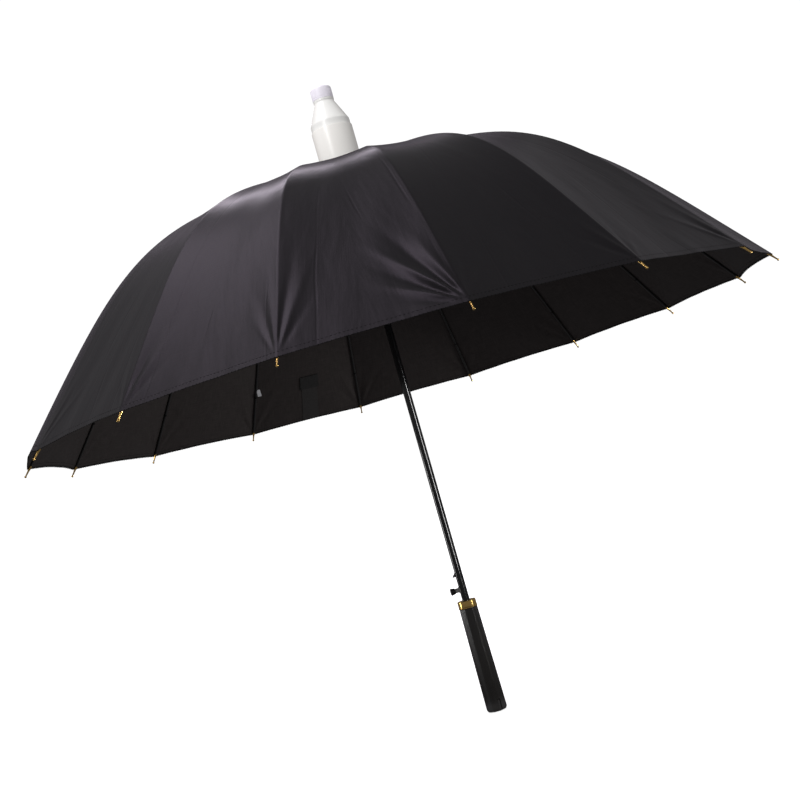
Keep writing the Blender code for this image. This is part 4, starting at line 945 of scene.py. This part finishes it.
# The top section wears the darker, painted-shade copy of the frosted plastic
addPiece("coverTop", lathe("coverTop", softened(outline, True), closed=True), "cover_top", clearPlastic,
         ["cover_top_section"], angle=50.0)
cap = {"radius": 0.0144, "foot": 0.8411, "top": 0.8580, "round": 0.0030, "bore": 0.0132, "roof": 0.8565,
       "seam": 0.8436, "seamDepth": 0.00035, "ribs": 60, "ribRadius": 0.00012, "ribHeight": 0.0098}
outline = [(0.0, cap["top"], 0), (cap["radius"], cap["top"], cap["round"]),
           (cap["radius"], cap["seam"] + 0.0003, 0.0001),
           (cap["radius"] - cap["seamDepth"], cap["seam"], 0.0001), (cap["radius"], cap["seam"] - 0.0003, 0.0001),
           (cap["radius"], cap["foot"], 0.0002), (cap["bore"], cap["foot"], 0),
           (cap["bore"], cap["roof"], 0), (0.0, cap["roof"], 0)]
addPiece("coverCap", lathe("coverCap", softened(outline, False)), "cap", palePlastic, ["cover_cap"],
         angle=50.0)
turns = 2 * math.pi * np.arange(cap["ribs"]) / cap["ribs"]
places = np.stack([cap["radius"] * np.cos(turns), cap["radius"] * np.sin(turns), np.full(cap["ribs"], 0.8497)], -1)
mesh = spreadOn("capRibs", grainTree, places, np.tile([0.0, 0.0, 1.0], (cap["ribs"], 1)),
                {"Radius": cap["ribRadius"], "Length": cap["ribHeight"] / 2, "Segments": 8, "Material": palePlastic})
addPiece("capRibs", mesh, "cap", None, angle=None)
print("cover")


# Pieces kept from the frame

finishes = {"crown": blackPlastic, "runner": blackPlastic, "opening_spring": springSteel,
            "catch_leaf": greySteel, "stretcher": ribPaint}
for name, node in frame["nodes"].items():
    for start, material in finishes.items():
        if name.startswith(start):
            node.data.materials.clear()
            node.data.materials.append(material)
print("kept pieces")


# Studio

# nearFloor, farFloor and nearRadius set the painted pool of light that reflections see on the floor
studio = {"seen": 1.05, "diffuse": 0.56, "glossy": 0.18, "nearFloor": 0.85, "farFloor": 0.18, "nearRadius": 0.14}

floorMesh = bpy.data.meshes.new("floor")
floorMesh.from_pydata([(-60, -60, 0), (60, -60, 0), (60, 60, 0), (-60, 60, 0)], [], [(0, 1, 2, 3)])
floor = bpy.data.objects.new("floor", floorMesh)
bpy.context.scene.collection.objects.link(floor)
floorMaterial, tree, shader = newMaterial("floorPaper", (0.9, 0.9, 0.9), 0.9, Emission_Strength=0.85)
shader.inputs["Emission Color"].default_value = (1.0, 1.0, 1.0, 1.0)
rays = put(tree, "ShaderNodeLightPath").outputs
seen = sum2(tree, "MAXIMUM", rays["Is Camera Ray"], rays["Is Transmission Ray"])
away = put(tree, "ShaderNodeVectorMath", {0: put(tree, "ShaderNodeTexCoord").outputs["Object"]}, operation="LENGTH")
near = ramp(tree, away.outputs["Value"], 0.04, studio["nearRadius"], studio["nearFloor"], studio["farFloor"])
# Reflections see the floor pale near the object and dark further off, a painted pool of light seen only in reflections;
# diffuse rays see mid grey
dim = put(tree, "ShaderNodeMix", {"Factor": rays["Is Glossy Ray"], "A": (0.5, 0.5, 0.5, 1.0)}, data_type="RGBA")
tree.links.new(near, dim.inputs["B"])
unseen = put(tree, "ShaderNodeBsdfDiffuse", {"Color": dim.outputs["Result"]})
mixed = put(tree, "ShaderNodeMixShader", {0: seen, 1: unseen.outputs[0], 2: shader.outputs[0]})
tree.links.new(mixed.outputs[0], tree.nodes["Material Output"].inputs["Surface"])
floorMesh.materials.append(floorMaterial)

world = bpy.data.worlds.new("studio")
bpy.context.scene.world = world
world.use_nodes = True
tree = world.node_tree
rays = put(tree, "ShaderNodeLightPath").outputs
seen = sum2(tree, "MAXIMUM", rays["Is Camera Ray"], rays["Is Transmission Ray"])
strength = put(tree, "ShaderNodeMix", {"Factor": rays["Is Glossy Ray"], "A": studio["diffuse"], "B": studio["glossy"]})
strength = put(tree, "ShaderNodeMix", {"Factor": seen, "A": strength.outputs["Result"], "B": studio["seen"]})
tree.links.new(strength.outputs["Result"], tree.nodes["Background"].inputs["Strength"])
tree.nodes["Background"].inputs["Color"].default_value = (1.0, 1.0, 1.0, 1.0)


def addLight(name, azimuth, elevation, distance, size, power, aim=(0, 0, 0.45), starts=(), colour=(1, 1, 1)):
    # A soft lamp; with starts, only the pieces whose names start so are lit
    lamp = bpy.data.lights.new(name, "AREA")
    lamp.shape = "RECTANGLE"
    lamp.size, lamp.size_y = size
    lamp.energy = power
    lamp.color = colour
    item = bpy.data.objects.new(name, lamp)
    bpy.context.scene.collection.objects.link(item)
    azimuth, elevation = math.radians(azimuth), math.radians(elevation)
    away = Vector((math.cos(azimuth) * math.cos(elevation), math.sin(azimuth) * math.cos(elevation),
                   math.sin(elevation)))
    item.location = Vector(aim) + away * distance
    item.rotation_euler = away.to_track_quat("Z", "Y").to_euler()
    if starts:
        lit = bpy.data.collections.new(name)
        for piece in bpy.data.objects:
            if piece.type == "MESH" and piece.name.startswith(starts):
                lit.objects.link(piece)
        item.light_linking.receiver_collection = lit
    return item


violet = (1.0, 0.90, 1.04)
addLight("backSoft", 177, 37, 3.0, (1.0, 0.7), 22, colour=violet)
addLight("topSoft", -112, 64, 1.9, (0.9, 0.9), 5.0, aim=(0, 0, 0.8), colour=violet)
addLight("sideStrip", -40, 38, 1.2, (0.2, 1.2), 11, aim=(0, 0, 0.83), starts=("cover", "cap"))
addLight("foldStrip", -40, 42, 1.2, (0.10, 1.1), 3.2, aim=(0, 0, 0.83),
         starts=("canopy", "hem", "ribFerrule"), colour=violet)
addLight("lowFill", 84, -6, 1.6, (0.8, 0.22), 14, aim=(0, 0, 0.3),
         starts=("canopy", "rib", "hem", "strap", "clothTag", "stretcher", "runner", "crown"))
addLight("leftStrip", -99, -6, 2.2, (0.34, 0.7), 7, aim=(0, 0, 0.25))
addLight("frontStrip", 31, 2, 2.4, (0.35, 1.3), 32, aim=(0, 0, 0.3), starts=("shaftTube", "handleGrip"))
addLight("ringStrip", 56, 2, 2.4, (0.12, 0.8), 3, aim=(0, 0, 0.15), starts=("handleRing", "button", "ribFerrule"))
addLight("rightStrip", 84, -3, 2.4, (0.3, 0.7), 1.5, aim=(0, 0, 0.25), starts=("handleGrip",))

camera = bpy.data.cameras.new("camera")
camera.lens = 58.742
camera.sensor_width = 36.0
camera.shift_x = -0.001
view = bpy.data.objects.new("camera", camera)
bpy.context.scene.collection.objects.link(view)
right, up = Vector((0.135696, 0.952172, -0.273812)), Vector((0.107665, 0.260566, 0.959446))
back = Vector((0.98488, -0.15967, -0.06716))
turned = Matrix((right, up, back)).transposed().to_4x4()
view.matrix_world = Matrix.Translation((1.7, -0.2861, 0.3079)) @ turned
bpy.context.scene.camera = view
bpy.context.scene.view_settings.view_transform = "Standard"
